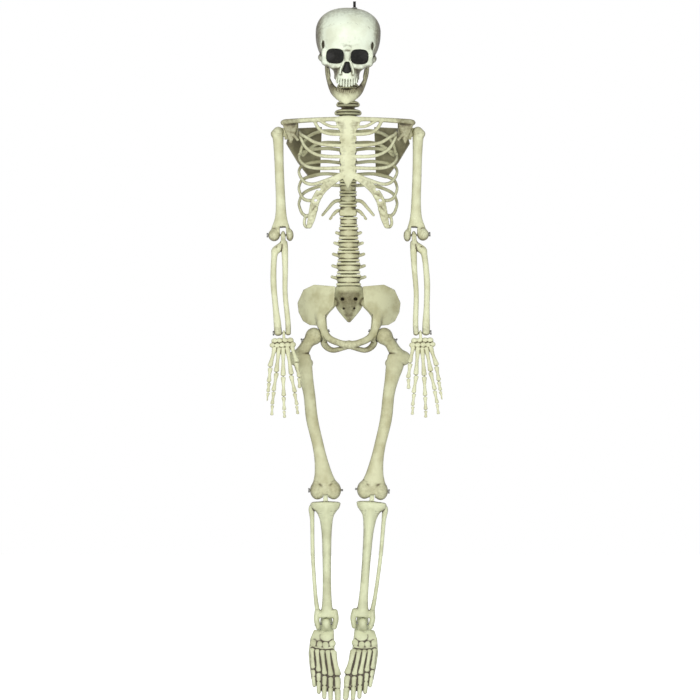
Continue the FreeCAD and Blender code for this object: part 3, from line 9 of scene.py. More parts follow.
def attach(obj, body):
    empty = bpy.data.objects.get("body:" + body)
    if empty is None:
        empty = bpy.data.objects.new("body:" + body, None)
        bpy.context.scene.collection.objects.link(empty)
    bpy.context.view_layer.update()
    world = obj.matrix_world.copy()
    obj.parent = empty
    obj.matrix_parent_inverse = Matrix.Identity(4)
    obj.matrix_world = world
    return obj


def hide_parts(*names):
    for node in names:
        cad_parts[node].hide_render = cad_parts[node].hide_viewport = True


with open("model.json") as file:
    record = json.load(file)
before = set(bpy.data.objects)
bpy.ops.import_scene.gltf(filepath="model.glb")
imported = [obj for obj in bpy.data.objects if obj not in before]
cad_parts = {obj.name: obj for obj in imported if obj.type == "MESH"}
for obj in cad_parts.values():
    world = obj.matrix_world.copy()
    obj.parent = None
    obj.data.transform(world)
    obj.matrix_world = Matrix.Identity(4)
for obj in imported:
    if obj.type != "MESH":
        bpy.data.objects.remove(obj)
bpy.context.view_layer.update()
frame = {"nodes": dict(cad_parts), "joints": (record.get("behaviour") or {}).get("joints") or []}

# Dresses the hanging skeleton figure. Each bone is modelled as a field of distances in
# millimetres, in the same joint frames as the CAD, and made into a mesh. The brown wash that
# lies in the hollows of the moulding, with painted shade that deepens the creases and darkens
# the sides facing away from the front, is worked out from the same field.

SIDES = {"left": 1.0, "right": -1.0}
MM = 0.001
FAR = 9.0          # distances are kept within this many millimetres of a surface
MIDLINE = -14.4    # the body's midline, left of the hanging eye
FACE_LEAN = 0.10   # how far the front of the head hangs down for each millimetre forward


# ---------------------------------------------------------------- fields and meshes

class Field:
    """Signed distances on a grid, in millimetres; below zero is inside the bone."""

    def __init__(self, low, high, step):
        self.low = np.array(low, float)
        self.step = step
        count = np.ceil((np.array(high, float) - self.low) / step).astype(int) + 1
        self.axes = [self.low[i] + step * np.arange(count[i]) for i in range(3)]
        self.values = np.full(count, FAR, np.float32)

    def region(self, low, high, margin):
        """The part of the grid near a box, with its coordinates; None when it is outside."""
        cuts = []
        for i in range(3):
            first = int(np.floor((low[i] - margin - self.low[i]) / self.step))
            last = int(np.ceil((high[i] + margin - self.low[i]) / self.step)) + 1
            first = max(first, 0)
            last = min(last, self.values.shape[i])
            if last <= first:
                return None
            cuts.append(slice(first, last))
        x = self.axes[0][cuts[0]][:, None, None]
        y = self.axes[1][cuts[1]][None, :, None]
        z = self.axes[2][cuts[2]][None, None, :]
        return tuple(cuts), x, y, z

    def add(self, low, high, distance, soft=2.0):
        """Joins a shape on; soft is how many millimetres the join is rounded over."""
        found = self.region(low, high, FAR + soft)
        if found is None:
            return
        cuts, x, y, z = found
        old = self.values[cuts]
        new = np.clip(distance(x, y, z), -FAR, FAR)
        blend = np.clip(0.5 + 0.5 * (new - old) / soft, 0, 1)
        joined = new + (old - new) * blend - soft * blend * (1 - blend)
        self.values[cuts] = np.minimum(joined, FAR)

    def take(self, low, high, distance, soft=1.0):
        """Carves a shape away."""
        found = self.region(low, high, soft + 2 * self.step)
        if found is None:
            return
        cuts, x, y, z = found
        old = self.values[cuts]
        new = -np.clip(distance(x, y, z), -FAR, FAR)
        blend = np.clip(0.5 - 0.5 * (new - old) / soft, 0, 1)
        joined = new + (old - new) * blend + soft * blend * (1 - blend)
        self.values[cuts] = np.minimum(joined, FAR)

    def softened(self, reach):
        """The field averaged over a small neighbourhood."""
        span = max(1, int(round(reach / self.step)))
        values = self.values
        for axis in range(3):
            padded = np.concatenate([np.repeat(np.take(values, [0], axis), span + 1, axis), values,
                                     np.repeat(np.take(values, [-1], axis), span, axis)], axis)
            total = np.cumsum(padded, axis=axis, dtype=np.float64)
            count = values.shape[axis]
            upper = np.take(total, np.arange(2 * span + 1, 2 * span + 1 + count), axis)
            lower = np.take(total, np.arange(0, count), axis)
            values = ((upper - lower) / (2 * span + 1)).astype(np.float32)
        return values

    def sample(self, grid, points):
        """Values of a grid at points, blended between the eight nearest nodes."""
        place = np.clip((points - self.low) / self.step, 0, np.array(grid.shape) - 1.001)
        first = place.astype(int)
        share = place - first
        total = 0.0
        for corner in np.ndindex(2, 2, 2):
            weight = np.prod(np.where(corner, share, 1 - share), axis=1)
            total = total + weight * grid[tuple((first + corner).T)]
        return total


def surface(field):
    """Points and four-sided faces of the field's zero surface."""
    values = field.values
    inside = values < 0
    cells = np.array(values.shape) - 1
    total = np.zeros(cells, np.int8)
    corners = [(i, j, k) for i in (0, 1) for j in (0, 1) for k in (0, 1)]

    def part(grid, corner):
        return grid[tuple(slice(c, c + n) for c, n in zip(corner, cells))]

    for corner in corners:
        total += part(inside, corner)
    mixed = (total > 0) & (total < 8)
    where = np.argwhere(mixed)
    number = np.full(cells, -1, np.int64)
    number[mixed] = np.arange(len(where))
    place = np.zeros((len(where), 3))
    hits = np.zeros(len(where))
    for start in corners:
        for axis in range(3):
            if start[axis]:
                continue
            end = tuple(c + (1 if i == axis else 0) for i, c in enumerate(start))
            a = part(values, start)[mixed].astype(float)
            b = part(values, end)[mixed].astype(float)
            crossed = (a < 0) != (b < 0)
            share = np.where(crossed, a / np.where(crossed, a - b, 1), 0)
            spot = np.tile(np.array(start, float), (len(where), 1))
            spot[:, axis] += share
            place[crossed] += spot[crossed]
            hits[crossed] += 1
    points = field.low + (where + place / hits[:, None]) * field.step
    faces = []
    for axis in range(3):
        ahead = [slice(None)] * 3
        behind = [slice(None)] * 3
        ahead[axis], behind[axis] = slice(1, None), slice(None, -1)
        crossed = inside[tuple(behind)] != inside[tuple(ahead)]
        spots = np.argwhere(crossed)
        second, third = (axis + 1) % 3, (axis + 2) % 3
        keep = ((spots[:, second] > 0) & (spots[:, third] > 0)
                & (spots[:, second] < cells[second]) & (spots[:, third] < cells[third]))
        spots = spots[keep]
        outward = inside[tuple(behind)][tuple(spots.T)]
        ring = []
        for back_second, back_third in ((0, 0), (1, 0), (1, 1), (0, 1)):
            cell = spots.copy()
            cell[:, second] -= back_second
            cell[:, third] -= back_third
            ring.append(number[tuple(cell.T)])
        ring = np.stack(ring, 1)
        faces.append(np.where(outward[:, None], ring, ring[:, ::-1]))
    return points, np.concatenate(faces)


def blob(centre, radii):
    """An egg: its box and its distance function."""
    centre, radii = np.array(centre, float), np.array(radii, float)

    def distance(x, y, z):
        u, v, w = x - centre[0], y - centre[1], z - centre[2]
        near = np.sqrt((u / radii[0]) ** 2 + (v / radii[1]) ** 2 + (w / radii[2]) ** 2)
        slope = np.sqrt((u / radii[0] ** 2) ** 2 + (v / radii[1] ** 2) ** 2
                        + (w / radii[2] ** 2) ** 2)
        return near * (near - 1) / np.maximum(slope, 1e-6)

    return centre - radii, centre + radii, distance


def curve(stations, spacing):
    """Evenly spaced stations along a smooth line through the given ones."""
    stations = np.array(stations, float)
    padded = np.vstack([2 * stations[0] - stations[1], stations, 2 * stations[-1] - stations[-2]])
    out = []
    for index in range(1, len(padded) - 2):
        a, b, c, d = padded[index - 1:index + 3]
        steps = max(1, int(np.linalg.norm((c - b)[:3]) / spacing))
        for step in range(steps):
            t = step / steps
            out.append(0.5 * (2 * b + (c - a) * t + (2 * a - 5 * b + 4 * c - d) * t * t
                              + (3 * b - a - 3 * c + d) * t ** 3))
    out.append(stations[-1])
    return np.array(out)


def sweep(field, stations, soft=2.0, carve=False, spacing=2.0):
    """A bone of changing section along a smooth line: stations (x, y, z, and three radii)."""
    stations = [tuple(s) + (s[3],) * (6 - len(s)) for s in stations]
    line = curve(stations, spacing)
    if carve:
        for station in line:
            field.take(*blob(station[:3], np.maximum(station[3:], 0.3)), soft)
        return
    reach = line[:, 3:].max()
    low, high = line[:, :3].min(0) - reach, line[:, :3].max(0) + reach
    found = field.region(low, high, FAR + soft)
    if found is None:
        return
    cuts = found[0]
    union = np.full([c.stop - c.start for c in cuts], FAR, np.float32)
    for station in line:
        lowest, highest, distance = blob(station[:3], np.maximum(station[3:], 0.3))
        near = field.region(lowest, highest, FAR)
        if near is None:
            continue
        inner, x, y, z = near
        part = union[tuple(slice(i.start - c.start, i.stop - c.start) for i, c in zip(inner, cuts))]
        np.minimum(part, np.clip(distance(x, y, z), -FAR, FAR), out=part)
    old = field.values[cuts]
    blend = np.clip(0.5 + 0.5 * (union - old) / soft, 0, 1)
    joined = union + (old - union) * blend - soft * blend * (1 - blend)
    field.values[cuts] = np.minimum(joined, FAR)


def both(field, stations, soft=2.0, carve=False):
    """A sweep and its mirror image."""
    sweep(field, stations, soft, carve)
    sweep(field, [(-s[0],) + tuple(s[1:]) for s in stations], soft, carve)


def egg(field, centre, radii, soft=2.0, carve=False):
    if carve:
        field.take(*blob(centre, radii), soft)
    else:
        field.add(*blob(centre, radii), soft)


def eggs(field, centre, radii, soft=2.0, carve=False):
    """An egg and its mirror image."""
    egg(field, centre, radii, soft, carve)
    egg(field, (-centre[0], centre[1], centre[2]), radii, soft, carve)


def slab(field, low, high, edge, soft=1.0, carve=False):
    """A box with rounded edges."""
    low, high = np.array(low, float), np.array(high, float)
    middle, half = (low + high) / 2, (high - low) / 2 - edge

    def distance(x, y, z):
        u, v, w = abs(x - middle[0]) - half[0], abs(y - middle[1]) - half[1], abs(z - middle[2]) - half[2]
        out = np.sqrt(np.maximum(u, 0) ** 2 + np.maximum(v, 0) ** 2 + np.maximum(w, 0) ** 2)
        return out + np.minimum(np.maximum(np.maximum(u, v), w), 0) - edge

    if carve:
        field.take(low, high, distance, soft)
    else:
        field.add(low, high, distance, soft)


def polygon(corners):
    """Distances in a plane to a many-sided outline; below zero is inside it."""
    corners = np.array(corners, float)

    def distance(u, w):
        u, w = np.broadcast_arrays(u, w)
        near = np.full(u.shape, 1e6)
        inside = np.zeros(u.shape, bool)
        for (from_u, from_w), (to_u, to_w) in zip(corners, np.roll(corners, -1, 0)):
            run, rise = to_u - from_u, to_w - from_w
            along = ((u - from_u) * run + (w - from_w) * rise) / (run ** 2 + rise ** 2)
            along = np.clip(along, 0, 1)
            near = np.minimum(near, np.hypot(u - from_u - along * run, w - from_w - along * rise))
            crosses = (from_w > w) != (to_w > w)
            left = u < from_u + (w - from_w) * run / (rise if rise else 1)
            inside ^= crosses & left
        return np.where(inside, -near, near)

    return distance


# ---------------------------------------------------------------- frames of the joints

JOINTS = {joint["name"]: joint for joint in frame["joints"]}


def unit(vector):
    return Vector(vector).normalized()


def joint_place(name):
    return Vector(JOINTS[name]["pos_m"])


def matrix(origin, across, backward, upward):
    """A frame from its origin and three directions; it takes millimetres to metres."""
    turn = Matrix((across, backward, upward)).transposed().to_4x4()
    return Matrix.Translation(origin) @ turn @ Matrix.Diagonal((MM, MM, MM, 1))


def level_frame(origin=Vector((MIDLINE * MM, 0, 0))):
    return matrix(origin, Vector((1, 0, 0)), Vector((0, 1, 0)), Vector((0, 0, 1)))


def head_frame():
    across = unit(JOINTS["neck_nod"]["axis"])
    upward = unit(JOINTS["neck_turn"]["axis"])
    return matrix(joint_place("neck_nod"), across, upward.cross(across), upward)


def limb_frame(top, bottom, backward):
    """A frame at the upper of two joints, its Z running up along the bone."""
    upward = unit(joint_place(top) - joint_place(bottom))
    backward = unit(backward - upward * upward.dot(backward))
    return matrix(joint_place(top), backward.cross(upward), backward, upward)


def arm_backward(side):
    axis = unit(JOINTS["shoulder_lift_" + side]["axis"])
    return axis if axis.y > 0 else -axis


def upper_arm_frame(side):
    return limb_frame("shoulder_lift_" + side, "elbow_bend_" + side, arm_backward(side))


def forearm_frame(side):
    return limb_frame("elbow_bend_" + side, "wrist_bend_" + side, arm_backward(side))


def hand_frame(side):
    rotation = forearm_frame(side)
    rotation.translation = joint_place("wrist_bend_" + side)
    return rotation


def hip_frame(side):
    return level_frame(joint_place("hip_swing_" + side))


def shin_frame(side):
    return limb_frame("knee_bend_" + side, "ankle_bend_" + side, Vector((0, 1, 0)))


def foot_frame(side):
    """The foot's frame is flat on its sole, its toes forward, and hangs down by this angle."""
    drop = Matrix.Rotation(math.radians(65), 4, "X")
    rotation = shin_frame(side)
    rotation.translation = joint_place("ankle_bend_" + side)
    return rotation @ drop


# ---------------------------------------------------------------- pieces

def make_object(name, points, faces, place, flip, wash_and_shade):
    """A mesh object from points in millimetres in a joint's frame."""
    if flip < 0:
        points = points * np.array((-1.0, 1.0, 1.0))
        faces = faces[:, ::-1]
    mesh = bpy.data.meshes.new(name)
    mesh.vertices.add(len(points))
    world = np.array(place)
    moved = points @ world[:3, :3].T + world[:3, 3]
    mesh.vertices.foreach_set("co", moved.astype(np.float32).ravel())
    mesh.loops.add(faces.size)
    mesh.loops.foreach_set("vertex_index", faces.astype(np.int32).ravel())
    mesh.polygons.add(len(faces))
    mesh.polygons.foreach_set("loop_start", np.arange(0, faces.size, 4, dtype=np.int32))
    mesh.update(calc_edges=True)
    mesh.polygons.foreach_set("use_smooth", np.ones(len(faces), bool))
    layer = mesh.attributes.new("wash_and_shade", "FLOAT", "POINT")
    layer.data.foreach_set("value", wash_and_shade.astype(np.float32))
    thing = bpy.data.objects.new(name, mesh)
    bpy.context.scene.collection.objects.link(thing)
    return thing


def seen_from_below(points):
    """The face hangs a little lower in front, as the photograph shows it from chest height."""
    moved = points.copy()
    moved[:, 2] += FACE_LEAN * np.minimum(points[:, 1], 0)
    return moved


def wash_and_shade_mask(field, points, facing):
    """How far each point lies in a crease (brown wash and painted shade) or faces to the side (painted
    shade), from 0 to 1.
    """
    here = field.sample(field.values, points)
    fine = field.sample(field.softened(2.2), points) - here
    broad = field.sample(field.softened(5.0), points) - here
    slopes = []
    for step in np.eye(3) * 2 * field.step:
        slopes.append(field.sample(field.values, points + step) - field.sample(field.values, points - step))
    steepest = np.sqrt(sum(slope ** 2 for slope in slopes)) + 0.001
    # Painted shade: surfaces that face away from the front are darkened, as the light falls off there.
    side_shade = np.clip(1 - abs(slopes[facing]) / steepest / 0.75, 0, 1)
    wash_and_shade = np.clip(-fine / 0.42, 0, 1) * 0.75 + np.clip(-broad / 1.3, 0, 1) * 0.55 + side_shade * 0.52
    return np.clip(wash_and_shade, 0, 1)


def cast(name, field, place, body, nodes, material, side=1.0, stain_and_shade=None, facing=1, bend=None):
    """A piece from a field, riding on a body in place of CAD nodes."""
    points, faces = surface(field)
    wash_and_shade = wash_and_shade_mask(field, points, facing)
    if stain_and_shade is not None:
        wash_and_shade = np.clip(wash_and_shade + stain_and_shade(points), 0, 1)
    if bend is not None:
        points = bend(points)
    piece = make_object(name, points, faces, place, side, wash_and_shade)
    piece.data.materials.append(material)
    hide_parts(*nodes)
    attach(piece, body)
    return piece


# ---------------------------------------------------------------- materials

def new_group(name, inputs, outputs):
    group = bpy.data.node_groups.new(name, "ShaderNodeTree")
    for label, kind, value in inputs:
        socket = group.interface.new_socket(label, in_out="INPUT", socket_type=kind)
        socket.default_value = value
    for label, kind in outputs:
        group.interface.new_socket(label, in_out="OUTPUT", socket_type=kind)
    return group, group.nodes.new("NodeGroupInput"), group.nodes.new("NodeGroupOutput")


def noise(tree, vector, scale, detail, roughness=0.55):
    node = tree.nodes.new("ShaderNodeTexNoise")
    node.inputs["Scale"].default_value = scale
    node.inputs["Detail"].default_value = detail
    node.inputs["Roughness"].default_value = roughness
    tree.links.new(vector, node.inputs["Vector"])
    return node.outputs["Fac"]


def stretch(tree, value, low, high, new_low=0.0, new_high=1.0):
    node = tree.nodes.new("ShaderNodeMapRange")
    node.inputs["From Min"].default_value = low
    node.inputs["From Max"].default_value = high
    node.inputs["To Min"].default_value = new_low
    node.inputs["To Max"].default_value = new_high
    tree.links.new(value, node.inputs["Value"])
    return node.outputs["Result"]


def math_node(tree, kind, first, second):
    node = tree.nodes.new("ShaderNodeMath")
    node.operation = kind
    for index, value in enumerate((first, second)):
        if isinstance(value, (int, float)):
            node.inputs[index].default_value = value
        else:
            tree.links.new(value, node.inputs[index])
    return node.outputs["Value"]


def mix_colour(tree, factor, first, second):
    node = tree.nodes.new("ShaderNodeMix")
    node.data_type = "RGBA"
    tree.links.new(factor, node.inputs["Factor"])
    for socket, value in ((node.inputs["A"], first), (node.inputs["B"], second)):
        if isinstance(value, tuple):
            socket.default_value = value
        else:
            tree.links.new(value, socket)
    return node.outputs["Result"]


# The darkest brown of the wash, also painted shade: the deepest creases and the inside of the mouth go
# nearly black.
DEEPEST_WASH_AND_SHADE = (0.030, 0.020, 0.010, 1)


def wash_and_shade_group():
    """Moulded bone with a brown wash and painted shade: colour and roughness from the mask of wash and
    shade, and noise.
    """
    grey = (0.5, 0.5, 0.5, 1)
    group, enter, leave = new_group("washed_and_shaded_bone", [
        ("Bone", "NodeSocketColor", grey), ("Shade", "NodeSocketColor", grey),
        ("Stain and shade", "NodeSocketColor", grey), ("Dirt", "NodeSocketFloat", 0.5)],
        [("Color", "NodeSocketColor"), ("Roughness", "NodeSocketFloat"), ("Height", "NodeSocketFloat")])
    links = group.links
    position = group.nodes.new("ShaderNodeTexCoord").outputs["Object"]
    attribute = group.nodes.new("ShaderNodeAttribute")
    attribute.attribute_name = "wash_and_shade"
    wash_and_shade = attribute.outputs["Fac"]
    tint = enter.outputs
    clouds = noise(group, position, 28, 5)
    fine = noise(group, position, 150, 4, 0.6)
    specks = noise(group, position, 900, 2)
    patches = stretch(group, clouds, 0.40, 0.63)
    dirty = math_node(group, "MULTIPLY", patches, tint["Dirt"])
    base = mix_colour(group, dirty, tint["Bone"], tint["Shade"])
    # Brown wash in the hollows, with painted shade in the creases, on the sides that face away and inside
    # the mouth.
    broken = math_node(group, "ADD", wash_and_shade, stretch(group, fine, 0.3, 0.7, -0.13, 0.13))
    edge = stretch(group, broken, 0.10, 0.62)
    light_stain_and_shade = mix_colour(group, math_node(group, "MULTIPLY", edge, 0.85), base, tint["Stain and shade"])
    # Painted shade: the deepest creases and the inside of the mouth are darkened nearly to black.
    deep_shade = stretch(group, broken, 0.62, 1.0, 0.0, 0.8)
    colour = mix_colour(group, deep_shade, light_stain_and_shade, DEEPEST_WASH_AND_SHADE)
    flecks = stretch(group, specks, 0.66, 0.74, 0.0, 0.10)
    colour = mix_colour(group, flecks, colour, tint["Stain and shade"])
    links.new(colour, leave.inputs["Color"])
    links.new(stretch(group, fine, 0.3, 0.7, 0.42, 0.62), leave.inputs["Roughness"])
    height = math_node(group, "ADD", math_node(group, "MULTIPLY", fine, 0.7),
                       math_node(group, "MULTIPLY", specks, 0.3))
    links.new(height, leave.inputs["Height"])
    return group


WASH_AND_SHADE = wash_and_shade_group()


def bone_material(name, bone, shade, stain_and_shade, dirt=0.6, depth=0.00035):
    """Moulded plastic bone with its own tones of the shared wash and painted shade."""
    material = bpy.data.materials.new(name)
    material.use_nodes = True
    tree = material.node_tree
    shader = tree.nodes["Principled BSDF"]
    wash_and_shade_node = tree.nodes.new("ShaderNodeGroup")
    wash_and_shade_node.node_tree = WASH_AND_SHADE
    wash_and_shade_node.inputs["Bone"].default_value = (*bone, 1)
    wash_and_shade_node.inputs["Shade"].default_value = (*shade, 1)
    wash_and_shade_node.inputs["Stain and shade"].default_value = (*stain_and_shade, 1)
    wash_and_shade_node.inputs["Dirt"].default_value = dirt
    bump = tree.nodes.new("ShaderNodeBump")
    bump.inputs["Strength"].default_value = 0.5
    bump.inputs["Distance"].default_value = depth
    tree.links.new(wash_and_shade_node.outputs["Height"], bump.inputs["Height"])
    tree.links.new(bump.outputs["Normal"], shader.inputs["Normal"])
    tree.links.new(wash_and_shade_node.outputs["Color"], shader.inputs["Base Color"])
    tree.links.new(wash_and_shade_node.outputs["Roughness"], shader.inputs["Roughness"])
    shader.inputs["Specular IOR Level"].default_value = 0.35
    return material


def worn_finish(name, marks, colours, roughness):
    """A bare finish with noisy marks: (scale, detail, low, high), two colours, a span of roughness."""
    material = bpy.data.materials.new(name)
    material.use_nodes = True
    tree = material.node_tree
    shader = tree.nodes["Principled BSDF"]
    position = tree.nodes.new("ShaderNodeTexCoord").outputs["Object"]
    scale, detail, low, high = marks
    worn = noise(tree, position, scale, detail)
    colour = mix_colour(tree, stretch(tree, worn, low, high), *colours)
    tree.links.new(colour, shader.inputs["Base Color"])
    tree.links.new(stretch(tree, worn, 0.3, 0.7, *roughness), shader.inputs["Roughness"])
    return material, shader


def black_plastic():
    """Smooth black plastic with faint scuffs."""
    material, shader = worn_finish("black_plastic", (220, 5, 0.45, 0.75),
                                   ((0.006, 0.006, 0.005, 1), (0.022, 0.021, 0.018, 1)), (0.42, 0.6))
    shader.inputs["Specular IOR Level"].default_value = 0.2
    return material


def screw_metal():
    """Zinc-plated steel, a little brushed and dulled."""
    material, shader = worn_finish("zinc_steel", (400, 4, 0.35, 0.7),
                                   ((0.20, 0.20, 0.19, 1), (0.09, 0.085, 0.075, 1)), (0.28, 0.5))
    shader.inputs["Metallic"].default_value = 1.0
    return material


PALE = bone_material("pale_bone", (0.76, 0.82, 0.66), (0.58, 0.60, 0.43), (0.13, 0.11, 0.06))
IVORY = bone_material("ivory_bone", (0.63, 0.64, 0.42), (0.47, 0.46, 0.27), (0.12, 0.095, 0.04), 0.7)
YELLOW = bone_material("yellow_bone", (0.57, 0.57, 0.36), (0.40, 0.38, 0.21), (0.10, 0.08, 0.035), 0.8)
GREEN = bone_material("green_bone", (0.62, 0.645, 0.42), (0.45, 0.46, 0.28), (0.07, 0.045, 0.035), 0.8)
DARK = bone_material("dark_bone", (0.27, 0.255, 0.15), (0.15, 0.135, 0.075), (0.04, 0.03, 0.016), 0.9)
BLACK = black_plastic()
STEEL = screw_metal()


# ---------------------------------------------------------------- head

EYE_ACROSS, EYE_LEVEL, EYE_HALF = 27.0, 30.0, (19.4, 16.4)
EYE_DEPTH = 20.0
SKULL_MIDDLE = (4.0, 82.0)      # how far back and how high the widest part of the skull lies
SKULL_HALF = (72.5, 88.0)       # half its width and half its length
CROWN, BASE = 56.5, 80.0        # its height above and below its widest part
SQUARENESS = 2.25


def eye_outline(x, z):
    """Distance from the squarish edge of the nearer eye pit."""
    across = abs(abs(x) - EYE_ACROSS) / EYE_HALF[0]
    up = abs(z - EYE_LEVEL) / EYE_HALF[1]
    return ((across ** 3 + up ** 3) ** (1 / 3) - 1) * EYE_HALF[1]


def face_front(x):
    """How far forward the rims of the eyes stand."""
    return -93.0 + 0.55 * np.maximum(abs(x) - 9.0, 0)


def skull_field():
    """The skull without its jaw, in the head's frame."""
    field = Field((-76, -114, -52), (76, 96, 142), 1.3)

    def braincase(x, y, z):
        back, up = y - SKULL_MIDDLE[0], z - SKULL_MIDDLE[1]
        height = np.where(up > 0, CROWN, BASE)
        near = (abs(x / SKULL_HALF[0]) ** SQUARENESS + abs(back / SKULL_HALF[1]) ** SQUARENESS
                + abs(up / height) ** SQUARENESS) ** (1 / SQUARENESS)
        return (near - 1) * 72

    field.add((-73, -84, 2), (73, 92, 139), braincase, 3)
    egg(field, (0, -31, 64), (61, 53, 50), 8)                       # forehead
    egg(field, (0, -46, 44), (56, 47, 38), 8)                       # face
    both(field, [(51, -64, 42, 4.5), (52, -62, 32, 5), (47, -68, 19, 5.5), (40, -76, 12, 6),
                 (27, -85, 8, 6), (15, -92, 10, 5)], 7)              # outer and lower rim
    egg(field, (0, -66, 20), (40, 26, 30), 8)
    sweep(field, [(0, -88, 44, 7), (0, -96, 30, 6), (0, -103, 20, 5)], 5)   # nose bone
    eggs(field, (45, -62, 16), (12, 13, 9), 6)                       # cheekbones
    both(field, [(50, -60, 18, 5.5), (59, -44, 24, 4.6, 5, 6), (61, -22, 27, 4.2, 5, 5.5),
                 (59, 2, 29, 5), (55, 14, 30, 6)], 4)                # cheek arches
    egg(field, (0, -66, -8), (26, 30, 22), 7)                        # upper jaw
    egg(field, (0, -70, -18), (25, 25, 13), 5)
    both(field, [(24, -60, -16, 5), (26, -66, 0, 6), (35, -68, 10, 5.5)], 5)
    eggs(field, (55, -58, 54), (3.5, 14, 9), 3, carve=True)          # temples
    field.take((-48, -112, 10), (48, -60, 48), eye_pit, 1.6)
    sweep(field, [(-9, -100, 42, 1.2, 6, 1.2), (0, -101, 43.5, 1.2, 6, 1.2),
                  (9, -100, 42, 1.2, 6, 1.2)], 1, carve=True)        # crease above the nose
    sweep(field, [(0, -114, 15, 6.5, 24, 4), (0, -114, 7, 9, 24, 6),
                  (0, -114, -3, 11.8, 24, 7.2)], 1.4, carve=True)    # nose hole
    both(field, [(14.6, -95, -8, 2.2), (14, -98, 0, 2.2), (11, -101, 9, 2.0), (7.4, -104, 18, 1.9)], 2.5)
    eggs(field, (35, -74, -13), (8, 30, 13), 3, carve=True)           # hollow below the cheek
    for number in range(-4, 5):
        upper_tooth(field, number)
    suture(field)
    egg(field, (0, 20, 13), (34, 38, 16), 6)                         # base
    return field


def eye_pit(x, y, z):
    """A pit behind each eye, with a flat floor."""
    return np.maximum(eye_outline(x, z), y - face_front(x) - EYE_DEPTH)


def eye_lining(x, y, z):
    """A dished black lining that fills each eye pit from edge to edge."""
    edge = eye_outline(x, z)
    dish = 5 + 6 * np.clip(-edge / EYE_HALF[1], 0, 1)
    front = face_front(x) + dish
    return np.maximum(np.maximum(edge - 0.6, front - y), y - face_front(x) - EYE_DEPTH - 1)


def upper_tooth(field, number):
    """One upper tooth on the arc of the jaw, with its root showing through the gum."""
    angle = number * 0.25
    x, y = 25 * math.sin(angle), -69 - 26 * math.cos(angle)
    lift = 11 * (x / 24) ** 2
    sweep(field, [(x * 0.96, y + 2, -19 + 0.4 * lift, 1.5, 1.6, 3),
                  (x, y - 0.5, -26 + 0.8 * lift, 2.5, 2.4, 3),
                  (x, y - 0.5, -35 + lift, 2.6, 2.2, 3.5)], 0.6)


def suture(field):
    """The wandering line across the forehead where the skull's bones meet."""
    line = []
    for x in range(-64, 65, 4):
        drop = 17 * (x / 64) ** 2
        z = 104 - drop + 1.5 * math.sin(x * 0.9)
        inside = (1 - abs(x / SKULL_HALF[0]) ** SQUARENESS
                  - abs((z - SKULL_MIDDLE[1]) / CROWN) ** SQUARENESS)
        line.append((x, SKULL_MIDDLE[0] - SKULL_HALF[1] * max(0.0, inside) ** (1 / SQUARENESS), z, 0.7))
    sweep(field, line, 0.6, carve=True)


def skull_stain_and_shade(points):
    """Extra brown round the mouth, beside the nose and on the cheekbones; painted shadow inside the mouth
    behind the front teeth, and painted shade along the sides of the head.
    """
    x, y, z = points.T
    side = abs(x)
    low = np.clip((-12 - z) / 14, 0, 1)
    mouth = 0.2 * low * np.clip((-y - 40) / 20, 0, 1)
    # Painted shadow inside the mouth, behind the front teeth.
    mouth += 0.6 * np.clip((-y - 8) / 20, 0, 1) * (y > -68) * low
    nose_side = 0.55 * np.exp(-((side - 24) / 6) ** 2 - ((z + 2) / 11) ** 2)
    cheek = 0.45 * np.exp(-((side - 43) / 11) ** 2 - ((z - 7) / 6) ** 2)
    bridge = 0.7 * np.exp(-(side / 10) ** 2 - ((z - 43) / 3) ** 2) * (y < -80)
    # The last term is painted shade along the sides of the head.
    return mouth + nose_side + cheek + bridge + 0.5 * np.clip((side - 54) / 15, 0, 1)


def make_skull():
    place = head_frame()
    cast("skull", skull_field(), place, "skull", ["skull_front", "skull_rear"], PALE, stain_and_shade=skull_stain_and_shade,
         bend=seen_from_below)
    linings = Field((-50, -96, 6), (50, -44, 52), 1.0)
    linings.add((-48, -94, 8), (48, -46, 50), eye_lining, 0.5)
    cast("eye_linings", linings, place, "skull", ["eye_socket_liners"], BLACK, bend=seen_from_below)
    nose = Field((-18, -104, -18), (18, -76, 26), 1.0)
    sweep(nose, [(0, -88, 15, 6.8, 9, 4.3), (0, -88, 7, 9.3, 9, 6.3), (0, -88, -3, 12.2, 9, 7.5)], 1)
    cast("nose_lining", nose, place, "skull", ["nose_liner"], BLACK, bend=seen_from_below)


def make_jaw():
    field = Field((-58, -104, -82), (58, 8, 28), 1.2)
    both(field, [(46, -10, 22, 4.2, 6, 4), (45.5, -12, 8, 4.2, 8, 6), (44, -17, -8, 4.2, 10, 8),
                 (40, -26, -24, 4.4, 10, 8), (36, -36, -34, 5, 9, 10), (31, -50, -43, 5.6, 8, 11.5),
                 (25, -64, -49, 6, 8, 12), (17, -77, -55, 6.5, 7, 12.5), (8, -86, -58.5, 7, 6.5, 13.5),
                 (0, -88, -60, 8, 7, 14.5)], 3)
    both(field, [(41, -26, 0, 3, 5, 5), (39, -32, -14, 3.2, 5, 6)], 3)
    egg(field, (0, -91, -66), (10, 5, 8), 4)
    # A plate across the floor of the mouth, which carries the painted shadow inside the mouth.
    egg(field, (0, -62, -47), (22, 20, 7), 4)                        # floor of the mouth
    for number in range(-5, 6):
        angle = number * 0.2
        x, y = 22 * math.sin(angle), -68 - 23 * math.cos(angle)
        lift = 9 * (x / 24) ** 2
        sweep(field, [(x, y, -46 + lift, 1.9, 2.2, 3), (x, y, -50 + lift, 2.1, 2.2, 3)], 0.6)
    cast("lower_jaw", field, head_frame(), "jaw", ["jaw"], IVORY, stain_and_shade=jaw_stain_and_shade, bend=seen_from_below)


